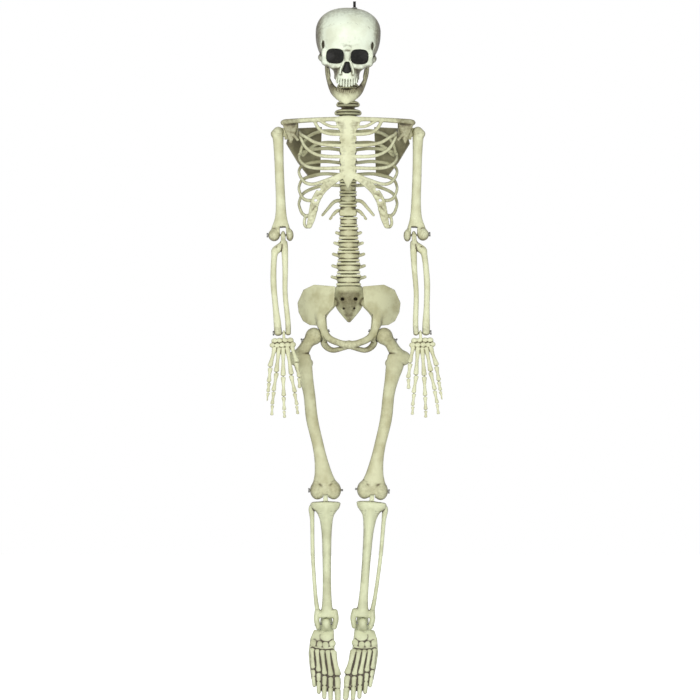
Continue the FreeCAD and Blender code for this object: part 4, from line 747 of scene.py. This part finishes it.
def jaw_stain_and_shade(points):
    """Brown below the lower teeth, and painted shadow in the floor of the mouth."""
    x, y, z = points.T
    top = -42 + 9 * (x / 24) ** 2
    gums = 0.6 * np.clip((z - top + 22) / 18, 0, 1) * (y < -50)
    # Painted shadow in the floor of the mouth.
    inner = 1.0 * (y > -82 + 0.02 * x ** 2) * (abs(x) < 25) * (z > -58)
    return gums + inner + 0.35 * np.clip((abs(x) - 22) / 12, 0, 1)


def make_neck():
    """Neck bones: drums stacked on each other with a groove between them."""
    field = Field((-34, -6, -262), (32, 60, -156), 1.5)
    for level, half, depth in ((-167.5, 20, 18), (-181, 22, 22), (-198, 22.5, 22), (-220, 23.5, 23),
                               (-238.5, 27.5, 25), (-254, 24, 24)):
        back = 14 + (-150 - level) * 0.12
        for end in (-3.2, 3.2):
            egg(field, (0, back, level + end), (half, depth, 5.4), 1.2)
        egg(field, (0, back + 22, level - 2), (5, 9, 5), 3)
        eggs(field, (half - 2, back + 4, level - 1), (5, 7, 5), 3)
    slab(field, (-14, 10, -258), (14, 38, -160), 4, 3)
    cast("neck_bones", field, level_frame(), "torso", ["neck_column"], YELLOW)


# ---------------------------------------------------------------- trunk

CHEST_HALF, CHEST_CENTRE, CHEST_FRONT, CHEST_REAR = 108.7, -4.0, 62.0, 56.0
RIB_FIFTH, RIB_SIXTH = -367.2, -382.3
WAIST = -469.6    # the level where the chest turns on the lower spine


def chest_point(angle, level):
    turn = math.radians(angle)
    depth = CHEST_FRONT if math.cos(turn) > 0 else CHEST_REAR
    return (CHEST_HALF * math.sin(turn), CHEST_CENTRE - depth * math.cos(turn), level)


def rib(field, stations, radius=4.0):
    """A rib round the barrel of the chest, and its twin on the other side."""
    line = []
    for angle, level in stations:
        turn = math.radians(angle)
        across = 0.78 + 0.22 * abs(math.cos(turn))
        through = 0.78 + 0.22 * abs(math.sin(turn))
        line.append((*chest_point(angle, level), radius * across, radius * through, radius))
    both(field, line, 2.2)


FULL_RIBS = [
    [(4, RIB_FIFTH), (30, RIB_FIFTH - 1), (50, RIB_FIFTH + 2), (68, RIB_FIFTH + 12),
     (84, RIB_FIFTH + 24), (104, RIB_FIFTH + 36), (130, RIB_FIFTH + 46), (155, RIB_FIFTH + 50),
     (176, RIB_FIFTH + 46)],
    [(4, RIB_SIXTH + 3), (26, RIB_SIXTH - 12), (44, RIB_SIXTH - 20), (60, RIB_SIXTH - 16),
     (76, RIB_SIXTH - 2), (92, RIB_SIXTH + 14), (118, RIB_SIXTH + 28), (150, RIB_SIXTH + 36),
     (176, RIB_SIXTH + 32)],
    [(34, RIB_SIXTH - 48), (48, RIB_SIXTH - 56), (64, RIB_SIXTH - 52), (78, RIB_SIXTH - 38),
     (92, RIB_SIXTH - 22), (116, RIB_SIXTH - 4), (148, RIB_SIXTH + 8), (176, RIB_SIXTH + 6)],
    [(40, RIB_SIXTH - 76), (52, RIB_SIXTH - 90), (66, RIB_SIXTH - 86), (79, RIB_SIXTH - 72),
     (94, RIB_SIXTH - 56), (118, RIB_SIXTH - 34), (150, RIB_SIXTH - 18), (176, RIB_SIXTH - 18)],
]


def cage_front():
    field = Field((-152, -82, -512), (152, -2.6, -244), 1.5)
    for stations in FULL_RIBS:
        rib(field, stations)
    second, third, fourth = -294, -318.4, -342.8
    rib(field, [(4, second), (22, second + 2), (33, second + 9), (40, second + 22), (43, second + 33)])
    rib(field, [(4, third), (26, third + 2), (42, third + 8), (58, third + 20), (72, third + 27),
                (80, third + 32)])
    rib(field, [(4, fourth), (26, fourth + 1), (42, fourth + 7), (58, fourth + 21),
                (70, fourth + 38), (80, fourth + 50)])
    rib(field, [(10, second + 17), (20, second + 18), (30, second + 26), (36, second + 34)], 3.4)
    gristle = [(4, 2, 7), (18, -14, 8.5), (32, -34, 9.5), (41, -56, 10), (45, -78, 9.5), (48, -96, 8.5),
               (52, -112, 6)]
    both(field, [(*chest_point(angle, RIB_SIXTH + level), size, 3.4, size)
                 for angle, level, size in gristle], 2.5)
    rib(field, [(50, RIB_SIXTH - 112), (58, RIB_SIXTH - 114), (63, RIB_SIXTH - 106),
                (60, RIB_SIXTH - 92), (52, RIB_SIXTH - 88)], 3.8)
    for angle, level in ((36, 32), (41, 56)):
        hole = chest_point(angle, RIB_SIXTH - level)
        eggs(field, hole, (4, 12, 3.2), 1, carve=True)
    breastbone(field)
    both(field, [(8, -64, -262, 9, 5, 8), (32, -64, -260, 6, 5, 5), (72, -52, -260.5, 5.2),
                 (110, -30, -261, 5.6), (138, -16, -262, 7, 5, 5.5), (145, -12, -264, 5)], 3)
    both(field, [(129, -15, -262, 18, 5, 5), (128, -14, -272, 16, 5, 6), (127, -13, -284, 12, 5, 7),
                 (127, -13, -296, 7.5, 4.5, 8), (127, -13, -306, 4, 4, 5)], 3)   # shoulder plates
    both(field, [(112, -18, -302, 3.6), (119, -15, -293, 3.6), (126, -13, -290, 4)], 2)
    return field


def breastbone(field):
    """The flat breastbone with scalloped sides and a pointed end."""
    steps = [(0, 24), (8, 27.5), (20, 23), (34, 16), (45, 19), (57, 15.5), (69, 18.5), (81, 15),
             (93, 18), (105, 15), (117, 17), (132, 12.5), (144, 6), (150, 2.5)]
    sweep(field, [(0, -66, -258 - down, half, 4.6, 6) for down, half in steps], 2)
    for down in (40, 63, 87, 111):
        sweep(field, [(-15, -72, -258 - down, 0.8), (0, -71.2, -258 - down, 0.8),
                      (15, -72, -258 - down, 0.8)], 1, carve=True)


def vertebra(field, level, half, setback, height):
    """One vertebra: a waisted body with a rim above and below."""
    egg(field, (0, setback, level), (half * 0.93, half * 0.88, height * 0.66), 1)
    for end in (-1, 1):
        slab(field, (-half, setback - half * 0.92, level + end * height * 0.36 - height * 0.1),
             (half, setback + half * 0.8, level + end * height * 0.36 + height * 0.1), 2.2, 1.5)
    egg(field, (0, setback + half + 3, level - 3), (4, 10, 7), 3)


def cage_rear():
    field = Field((-116, -5.4, -488), (116, 84, -246), 1.5)
    for stations in FULL_RIBS:
        rib(field, stations)
    top = -258
    rib(field, [(176, top - 22), (150, top - 20), (128, top - 32), (112, top - 52), (100, top - 76),
                (96, RIB_FIFTH + 34)])
    rib(field, [(176, top - 46), (150, top - 46), (130, top - 58), (114, top - 76),
                (103, RIB_FIFTH + 38)], 3.6)
    both(field, [(12, 34, -434, 4.2), (30, 30, -437, 4.2), (44, 24, -452, 3.8), (57, 16, -468, 3)], 2)
    both(field, [(12, 34, -456, 4), (26, 31, -459, 4), (40, 24, -476, 3)], 2)
    pitch = 24
    for number in range(9):
        vertebra(field, -263 - pitch * number, 19.5, 38, pitch)
    slab(field, (-19, 20, WAIST + 0.1), (19, 54, -455), 3, 2)

    def below_waist(x, y, z):
        return z - WAIST + 0 * x + 0 * y

    field.take((-30, 0, WAIST - 19.4), (30, 84, WAIST), below_waist, 0.5)
    return field


def shoulder_stain(points):
    """More wash on the shoulder plates, and on the ribs away from the breastbone."""
    side = abs(points[:, 0])
    shoulder = 0.3 * np.clip((side - 104) / 10, 0, 1) * (points[:, 2] > -315)
    return shoulder + 0.14 * np.clip((side - 16) / 12, 0, 1)


def make_trunk():
    place = level_frame()
    cast("chest_front", cage_front(), place, "torso", ["rib_cage_front"], IVORY, stain_and_shade=shoulder_stain)
    cast("chest_rear", cage_rear(), place, "torso", ["rib_cage_rear"], YELLOW)


def lumbar():
    field = Field((-46, 8, -630), (46, 76, -466), 1.5)
    edges = [-471, -493, -522, -546, -572, -599, -626]
    for number, (upper, lower) in enumerate(zip(edges, edges[1:])):
        half = 19.7 + 8.8 * (number + 0.5) / 6
        vertebra(field, (upper + lower) / 2, half, 38, upper - lower)
    for level, reach in ((-509, 27), (-532, 31), (-557, 34), (-583, 35.5), (-608, 37)):
        both(field, [(10, 38, level - 1, 5), (reach * 0.7, 39, level, 4), (reach, 41, level + 3, 3.6)], 3)
    place = level_frame(Vector(((MIDLINE + 1.2) * MM, 0, 0)))
    cast("lower_spine", field, place, "hips", ["lumbar_spine"], YELLOW)


WING_OUTLINE = [(30, -627.6), (78, -623), (102, -634), (115.5, -663), (113, -684), (103, -704),
                (88, -713), (64.5, -715), (60, -724), (55, -713), (53, -691), (34, -671)]


def pelvis_field():
    field = Field((-124, -62, -790), (124, 66, -612), 1.6)
    outline = polygon(WING_OUTLINE)
    turn = math.radians(36)

    def wing(x, y, z):
        """A dished blade on each side, hollow towards the front, with a thick rim."""
        side = abs(x)
        along = (side - 66) * math.cos(turn) + (y - 7) * math.sin(turn)
        off = -(side - 66) * math.sin(turn) + (y - 7) * math.cos(turn)
        bend = off + 7 - 0.0035 * (along ** 2 + (z + 668) ** 2)
        edge = outline(side, z)
        thick = 3.4 + 2.6 * np.clip(1 + edge / 22, 0, 1) ** 2
        return np.maximum(abs(bend) - thick, edge)

    field.add((-124, -60, -730), (124, 64, -618), wing, 5)
    sweep(field, [(0, 38, -628, 30, 19, 6), (0, 41, -648, 35, 15, 14), (0, 48, -670, 30, 11, 13),
                  (0, 52, -688, 17, 8, 10), (0, 49, -701, 6, 5, 6)], 5)
    both(field, [(36, 34, -664, 9), (56, 18, -690, 8), (59, -4, -716, 8.5), (46, -24, -741, 8),
                 (22, -40, -753, 7.5), (3, -46, -757, 8)], 5)
    both(field, [(57, 2, -736, 8), (54, 3, -757, 7.5), (36, -16, -769, 6), (8, -42, -763, 5.5)], 4)
    both(field, [(62, 2, -694, 11, 9, 10), (60, -2, -716, 10, 11, 12), (58, -4, -734, 11, 13, 14)], 6)
    egg(field, (0, -46, -757), (6, 7, 9), 4)                          # joint of the two halves in front
    eggs(field, (15, 24, -655), (4.6, 20, 3.8), 1.5, carve=True)
    eggs(field, (12, 33, -676), (3.2, 14, 3), 1.5, carve=True)
    eggs(field, (78, -4, -738), (20.4, 20.4, 20.4), 1.0, carve=True)
    return field


def sacrum_stain(points):
    """Extra brown down the middle of the sacrum and in the hip seats."""
    x, y, z = points.T
    width = np.clip((32 - 0.34 * (-640 - z) - abs(x)) / 9, 0, 1)
    middle = 0.5 * width * np.clip((-632 - z) / 10, 0, 1) * (z > -714)
    seat = np.sqrt((abs(x) - 78) ** 2 + (y + 4) ** 2 + (z + 738) ** 2) < 21.5
    ring = 0.25 * np.clip((-742 - z) / 10, 0, 1)
    return middle * (y > 5) + 0.6 * seat + ring


def make_pelvis():
    place = level_frame(Vector(((MIDLINE + 2.2) * MM, 0, 0)))
    cast("hip_bones", pelvis_field(), place, "hips", ["pelvis"], YELLOW, stain_and_shade=sacrum_stain)


# ---------------------------------------------------------------- arms

ELBOW_DROP = 236                              # from the shoulder's pin to the elbow's
ELBOW_TILT = {"left": -5.7, "right": -2.3}    # how many degrees the elbow's pin is out of square


def humerus_field(side):
    field = Field((-34, -22, -256), (40, 22, 16), 1.4)
    sweep(field, [(1, 0, -10, 12.5, 12, 10), (1, 0, -24, 11.5, 11, 8), (1.3, 0, -59, 10.4, 10, 8),
                  (1.8, 0, -100, 10.2, 9.8, 8), (2, 0, -156, 10.6, 9.8, 8),
                  (3, 0, -194, 13, 10, 8), (5, 0, -219, 20, 10, 8), (5, 0, -228, 23, 11, 8)], 2)
    egg(field, (0, 0, 0), (13, 12.4, 13), 2)
    egg(field, (8, -3, -4), (9, 10, 9), 3)
    tilt = math.tan(math.radians(ELBOW_TILT[side]))
    for x, half in ((-14.5, 8.5), (20, 13)):
        egg(field, (x, 0, -ELBOW_DROP - x * tilt), (half, 13.6, 13.6), 2.5)
    egg(field, (5, -12, -214), (6, 3, 7), 2, carve=True)
    egg(field, (5, 12, -218), (8, 3.4, 9), 2, carve=True)
    for x in (-19, -9, 14, 27):                                       # grooves down the knuckles
        sweep(field, [(x, -14, -226, 1.1), (x * 1.06, -14.5, -244, 1.1)], 1.4, carve=True)
    slab(field, (-6.8, -40, -260), (6.8, 40, -218), 1, 1, carve=True)
    slab(field, (-40, -4.6, -11), (11, 4.6, 30), 0.5, 0.5, carve=True)
    return field


def forearm_field():
    field = Field((-16, -14, -232), (38, 14, 12), 1.3)
    sweep(field, [(5, 0, -22, 7, 7.5, 5), (14, 0, -33, 11.5, 9.5, 6), (20, 0, -48, 6.8, 6.6, 6),
                  (22, 0, -106, 6.7, 6.2, 6), (18, 0, -160, 6.5, 6.2, 6), (14, 0, -200, 8.2, 7, 6),
                  (12.5, 0, -222, 8.6, 8.4, 6)], 2)
    sweep(field, [(-1, 0, -17, 8.5, 9, 5), (-3, 0, -33, 7.6, 7.5, 5), (-4, 0, -78, 6.2, 6, 5),
                  (-3.5, 0, -133, 5.6, 5.5, 5), (-9, 0, -195, 6, 6, 5), (-9.5, 0, -222, 6.2, 7.6, 5)], 2)
    egg(field, (0, 0, 0), (5, 9.2, 9.2), 1)
    slab(field, (-5, -8.6, -22), (5, 8.6, 0), 2, 2)
    egg(field, (17, -9, -28), (5, 2, 3), 2, carve=True)
    slab(field, (-3.5, -30, -240), (3.5, 30, -207), 0.5, 0.5, carve=True)
    return field


PEBBLES = [(-14, -16.5, 7.5), (-3, -17, 7), (9, -17, 7.5), (20, -17.5, 7.5), (-19, -26, 7.5),
           (-8, -27, 8), (4, -27, 8), (15, -28, 7.5), (25, -27, 6.5)]
FINGERS = [                                   # the ends of each bone, across and up
    [(24, -29), (37, -76), (40.5, -110), (43, -132), (48, -152)],
    [(13, -31), (20.5, -88), (28, -130), (32, -160), (33.5, -184)],
    [(2, -31), (2.5, -97), (1.5, -142), (0.5, -173), (-0.5, -190)],
    [(-9, -30), (-19, -94), (-28, -134), (-33, -162), (-35.5, -182)],
    [(-20, -24), (-33, -66), (-40, -100), (-41, -124)],
]
SPREAD = 0.82                                 # how far the fingers are drawn together


def finger_bone(field, start, end, fat):
    """A bone of palm or finger with a thick knuckle at each end, a little short of its joints."""
    start, end = np.array(start, float), np.array(end, float)
    gap = (end - start) / np.linalg.norm(end - start) * 0.9
    start, end = start + gap, end - gap
    middle = (start + end) / 2
    sweep(field, [(start[0] * SPREAD, 0, start[1] - fat * 0.5, fat * 0.98, fat * 0.8, fat * 0.6),
                  (middle[0] * SPREAD, 0, middle[1], fat * 0.60, fat * 0.56, fat * 0.6),
                  (end[0] * SPREAD, 0, end[1] + fat * 0.6, fat * 0.92, fat * 0.78, fat * 0.7)], 0.7)


def hand_field():
    """Wrist bones, palm bones and fingers of the left hand, seen from the front."""
    field = Field((-38, -13, -206), (38, 13, 12), 1.15)
    egg(field, (0, 0, 0), (3, 6.6, 6.6), 1)
    slab(field, (-3, -6.6, -18), (3, 6.6, 0), 1.5, 1)
    for x, z, radius in PEBBLES:
        egg(field, (x, 0, z), (radius, 7, radius * 0.85), 1.2)
    for finger in FINGERS:
        for number, (start, end) in enumerate(zip(finger, finger[1:])):
            finger_bone(field, start, end, 6.3 * (1 - 0.12 * number))
    return field


# ---------------------------------------------------------------- legs

KNEE = (-25.8, -342.5)                        # the knee's pin from the hip's, across and up
KNEE_TILT = {"left": 4.3, "right": 0.3}       # how many degrees the knee's pin is out of square


def femur_field(side):
    field = Field((-66, -26, -368), (64, 26, 24), 1.4)

    def on(share, outward, across, through):
        """A station of the shaft, at a share of the way from hip to knee."""
        return (KNEE[0] * share + outward, 0, KNEE[1] * share, across, through, 9)

    egg(field, (0, 0, 0), (19, 19, 19), 3)
    sweep(field, [(2, 0, -2, 14), (14, 1, -16, 13), (24, 2, -32, 14), (36, 2, -46, 15)], 5)
    egg(field, (43, 3, -49), (16.5, 15, 16), 5)
    egg(field, (9, 6, -60), (7, 8, 9), 5)
    sweep(field, [on(0.13, 29, 18, 14), on(0.19, 29, 20, 14), on(0.285, 24, 15.5, 12.5),
                  on(0.38, 20, 13.2, 12), on(0.54, 18, 13.4, 12), on(0.70, 9.5, 12.8, 12),
                  on(0.80, 5, 14.6, 13), on(0.89, 2, 19.5, 16), on(0.95, 0.5, 26, 17)], 3)
    tilt = math.tan(math.radians(KNEE_TILT[side]))
    x, z = KNEE
    for out in (-18, 18):
        egg(field, (x + out, -1, z - out * tilt), (16.5, 20.5, 20.5), 4)
    egg(field, (x, -5, z + 2), (15, 15.5, 17), 7)                    # joins the condyles in front
    half_slot = 5.6
    for front, rise in ((-15, 1), (-2, 32)):
        slab(field, (x - half_slot, front, z - 60), (x + half_slot, 60, z + rise), 1, 1, carve=True)
    egg(field, (x, 0, z), (half_slot, 15.5, 15.5), 0.6, carve=True)
    return field


def shin_field():
    field = Field((-38, -24, -312), (42, 24, 14), 1.5)
    sweep(field, [(0, -1.9, -29.5, 33.5, 16.6, 6.5), (0, -1.6, -38, 31, 16.4, 7),
                  (-1, 0, -47, 23, 15.5, 6), (-1, 0, -56, 17.5, 13.5, 6),
                  (-1.5, 0, -70, 14, 12.5, 6), (-2, 0, -100, 11, 11.5, 6),
                  (-2, 0, -150, 9.8, 10, 6), (-2, 0, -222, 9.8, 10, 6), (-2, 0, -262, 12.5, 11.5, 6),
                  (-1, 0, -279, 19, 13.5, 6)], 3)
    sweep(field, [(-1, -14, -40, 5), (-1, -11, -56, 5), (-2, -8, -90, 4.4), (-2, -7, -200, 3.4)], 8)
    both(field, [(19, 0, -270, 7, 11, 6), (21.5, 0, -286, 6.5, 11, 8), (18.5, -2, -303, 5.5, 9, 7)], 4)
    sweep(field, [(26, 3, -31, 6.5, 7.5, 5), (31, 4, -42, 7, 6.5, 6), (30, 4, -70, 4.8),
                  (29, 4, -148, 4.4), (24, 3, -230, 4.5), (19, 1, -273, 5.6, 6, 6)], 2)
    egg(field, (0, 0, 0), (5, 11.6, 11.6), 1)
    slab(field, (-5, -11.5, -34), (5, 11.5, 0), 1.5, 2)
    eggs(field, (17, 0, -22.5), (12, 13, 2), 3, carve=True)
    egg(field, (0, 0, -305), (12, 40, 24), 1.5, carve=True)
    slab(field, (-10.6, -40, -330), (10.6, 40, -292), 1, 0.6, carve=True)
    return field


def foot_top(x, reach):
    """Height of the foot's upper side at a place across it and a reach from the ankle."""
    return -11 - 0.165 * reach - 0.006 * (x - 2) ** 2


def foot_body(x, y, z):
    """The solid of the foot: flat below, domed above, with the outline seen in front."""
    rounding = 6
    edge = polygon(FOOT_OUTLINE)(x, -y) + rounding
    above = z - foot_top(x, -y) + 8
    corner = np.hypot(np.maximum(edge, 0), np.maximum(above, 0))
    domed = corner + np.minimum(np.maximum(edge, above), 0) - rounding
    return np.maximum(domed, -46 + 0.05 * y - z)


def foot_groove(field, stations, width, depth):
    """A groove in the upper side of the foot through places (across, reach)."""
    sweep(field, [(x, -reach, foot_top(x, reach), width, width, depth) for x, reach in stations], 1.6,
          carve=True)


def foot_ray(field, stations):
    """One run of foot bones through places (across, reach, half width) on the foot's upper side."""
    sweep(field, [(x, -reach, foot_top(x, reach) - 4.5, wide, 6, 3.6 + 0.4 * wide)
                  for x, reach, wide in stations], 0.9)


FOOT_OUTLINE = [(-16.7, 6), (-18.9, 65), (-26.7, 94), (-32, 120), (-30, 140), (10, 142), (22, 128),
                (34, 112), (38, 80), (40, 55), (36, 24), (28, 6)]
# Each toe: root, knuckle and tip across the foot; how far out root, knuckle, joint and tip lie; half width.
TOES = [
    ((-15, -24, -25), (58, 108, 138, 164), 8.6),
    ((-3, -9, -9), (59, 110, 136, 165), 6.8),
    ((9, 4, 5), (58, 107, 132, 160), 6.6),
    ((20, 17, 17), (56, 100, 123, 148), 6.4),
    ((31, 29, 27), (52, 92, 111, 132), 6.2),
]


def foot_field():
    """The left foot flat on its sole, its toes along -Y."""
    field = Field((-46, -184, -52), (46, 46, 16), 1.4)
    sweep(field, [(0, 30, -28, 12, 9, 12), (0, 14, -26, 14, 12, 13), (0, 0, -26, 16, 12, 10)], 3)
    field.add((-42, -180, -50), (42, -4, -8), foot_body, 3)
    for x, reach, radius in ((-12, 38, 9), (2, 41, 8.5), (14, 40, 8), (28, 36, 9), (0, 22, 14)):
        egg(field, (x, -reach, foot_top(x, reach) - 5), (radius, radius, 6.5), 1.5)
    foot_groove(field, [(-22, 49), (0, 53), (18, 51), (40, 45)], 1.6, 3.5)
    egg(field, (0, 0, 0), (10, 13.4, 13.4), 2)                       # the ankle's knuckle
    slab(field, (-10, -12.6, -22), (10, 12.6, -2), 4, 5)
    for (root_x, knuckle_x, tip_x), (root, knuckle, joint, tip), fat in TOES:
        foot_ray(field, [(root_x, root, fat * 0.95),
                         ((root_x + knuckle_x) / 2, (root + knuckle) / 2, fat * 0.72),
                         (knuckle_x, knuckle - 4, fat)])
        middle = (knuckle_x + tip_x) / 2
        foot_ray(field, [(knuckle_x, knuckle + 8, fat * 0.9), (middle, joint - 5, fat * 0.82)])
        foot_ray(field, [(middle, joint + 4, fat * 0.84), (tip_x, tip - 4, fat * 0.74)])
    return field


def ankle_without_wash_or_shade(points):
    """No wash or painted shade on the ankle's knuckle, which would show as a dark window."""
    return -0.8 * (np.hypot(points[:, 1], points[:, 2]) < 25)


def fork_with_less_wash_and_shade(points):
    """Less wash and painted shade on the fork that holds the ankle."""
    return -0.5 * np.clip((-262 - points[:, 2]) / 12, 0, 1)


def end_stain(upper, lower, amount=0.22):
    """More wash towards the two ends of a long bone."""
    def stain_and_shade(points):
        z = points[:, 2]
        return amount * (np.clip((z - upper) / 14 + 1, 0, 1) + np.clip((lower - z) / 14 + 1, 0, 1))
    return stain_and_shade


def make_limbs():
    for side, sign in SIDES.items():
        cast("upper_arm_bone_" + side, humerus_field(side), upper_arm_frame(side), "upper_arm_" + side,
             ["humerus_" + side], IVORY, sign, end_stain(-6, -224))
        cast("thigh_bone_" + side, femur_field(side), hip_frame(side), "thigh_" + side,
             ["femur_" + side], YELLOW, sign, end_stain(-36, -332, 0.16))
    forearm, hand, shin, foot = forearm_field(), hand_field(), shin_field(), foot_field()
    for side, sign in SIDES.items():
        cast("forearm_bones_" + side, forearm, forearm_frame(side), "lower_arm_" + side,
             ["forearm_" + side], IVORY, sign, end_stain(-24, -212))
        cast("hand_bones_" + side, hand, hand_frame(side), "hand_" + side, ["hand_" + side], IVORY, sign)
        cast("shin_bones_" + side, shin, shin_frame(side), "lower_leg_" + side, ["shin_" + side],
             GREEN, sign, fork_with_less_wash_and_shade)
        cast("foot_bones_" + side, foot, foot_frame(side), "foot_" + side, ["foot_" + side],
             GREEN, sign, ankle_without_wash_or_shade, facing=2)


# ---------------------------------------------------------------- CAD nodes that stay

def dress_nodes():
    """Materials of the CAD pieces that are shown as they are."""
    for name, thing in frame["nodes"].items():
        if thing.hide_render:
            continue
        material = STEEL
        if name == "hanging_eye":
            material = BLACK
        elif name.startswith("scapula"):
            material = DARK
        elif name.startswith(("shoulder_knuckle", "atlas")):
            material = YELLOW
        thing.data.materials.clear()
        thing.data.materials.append(material)


# ---------------------------------------------------------------- floor, light and camera

def seen_rays(tree):
    """1 for the rays that show the background: to the camera, and by way of metal or glass."""
    rays = tree.nodes.new("ShaderNodeLightPath").outputs
    mirrored = math_node(tree, "MAXIMUM", rays["Is Glossy Ray"], rays["Is Transmission Ray"])
    return math_node(tree, "MAXIMUM", rays["Is Camera Ray"], mirrored)


FLOOR_LEVEL, FLOOR_SIZE = -1.72, 14
LAMPS = [                                     # name, place, size in metres, power in watts
    ("key", (-1.2, -3.9, 0.7), 1.6, 86),
    ("fill", (1.9, -3.6, -0.5), 2.2, 36),
    ("low", (0.0, -3.6, -1.5), 1.6, 22),
]


def pale_floor():
    """A plain pale floor that keeps the figure's shadow and looks white to the camera."""
    half = FLOOR_SIZE / 2
    mesh = bpy.data.meshes.new("floor")
    mesh.from_pydata([(-half, -half, 0), (half, -half, 0), (half, half, 0), (-half, half, 0)], [],
                     [(0, 1, 2, 3)])
    floor = bpy.data.objects.new("floor", mesh)
    floor.location = (0, 0, FLOOR_LEVEL)
    bpy.context.scene.collection.objects.link(floor)
    material = bpy.data.materials.new("floor")
    material.use_nodes = True
    tree = material.node_tree
    shader = tree.nodes["Principled BSDF"]
    shader.inputs["Base Color"].default_value = (0.9, 0.9, 0.9, 1)
    shader.inputs["Roughness"].default_value = 0.9
    shader.inputs["Emission Color"].default_value = (1, 1, 1, 1)
    glow = math_node(tree, "MULTIPLY", seen_rays(tree), 0.75)
    tree.links.new(glow, shader.inputs["Emission Strength"])
    floor.data.materials.append(material)


def soft_light():
    """A dim sky that looks white to the camera, and three broad lamps in front."""
    world = bpy.data.worlds.new("studio")
    bpy.context.scene.world = world
    world.use_nodes = True
    tree = world.node_tree
    back = tree.nodes["Background"]
    seen = tree.nodes.new("ShaderNodeBackground")
    seen.inputs["Color"].default_value = (1, 1, 1, 1)
    seen.inputs["Strength"].default_value = 1.0
    back.inputs["Color"].default_value = (0.95, 0.97, 1, 1)
    back.inputs["Strength"].default_value = 0.48
    mix = tree.nodes.new("ShaderNodeMixShader")
    tree.links.new(seen_rays(tree), mix.inputs[0])
    tree.links.new(back.outputs[0], mix.inputs[1])
    tree.links.new(seen.outputs[0], mix.inputs[2])
    tree.links.new(mix.outputs[0], tree.nodes["World Output"].inputs[0])
    for name, place, size, power in LAMPS:
        lamp = bpy.data.lights.new(name, "AREA")
        lamp.size = size
        lamp.energy = power
        thing = bpy.data.objects.new(name, lamp)
        thing.location = place
        aim = Vector((0, 0, -0.6)) - Vector(place)
        thing.rotation_euler = aim.to_track_quat("-Z", "Y").to_euler()
        bpy.context.scene.collection.objects.link(thing)


def camera():
    """Square on to the figure, far enough away to see it nearly without perspective."""
    lens = bpy.data.cameras.new("camera")
    distance, width, sensor = 6.5, 1.5575, 36
    lens.sensor_width = sensor
    lens.lens = sensor * distance / width
    thing = bpy.data.objects.new("camera", lens)
    thing.location = (-0.010, -distance, -0.7687)
    thing.rotation_euler = Euler((math.radians(90), 0, 0))
    bpy.context.scene.collection.objects.link(thing)
    bpy.context.scene.camera = thing
    bpy.context.scene.view_settings.view_transform = "Standard"


make_skull()
make_jaw()
make_neck()
make_trunk()
lumbar()
make_pelvis()
make_limbs()
dress_nodes()
pale_floor()
soft_light()
camera()
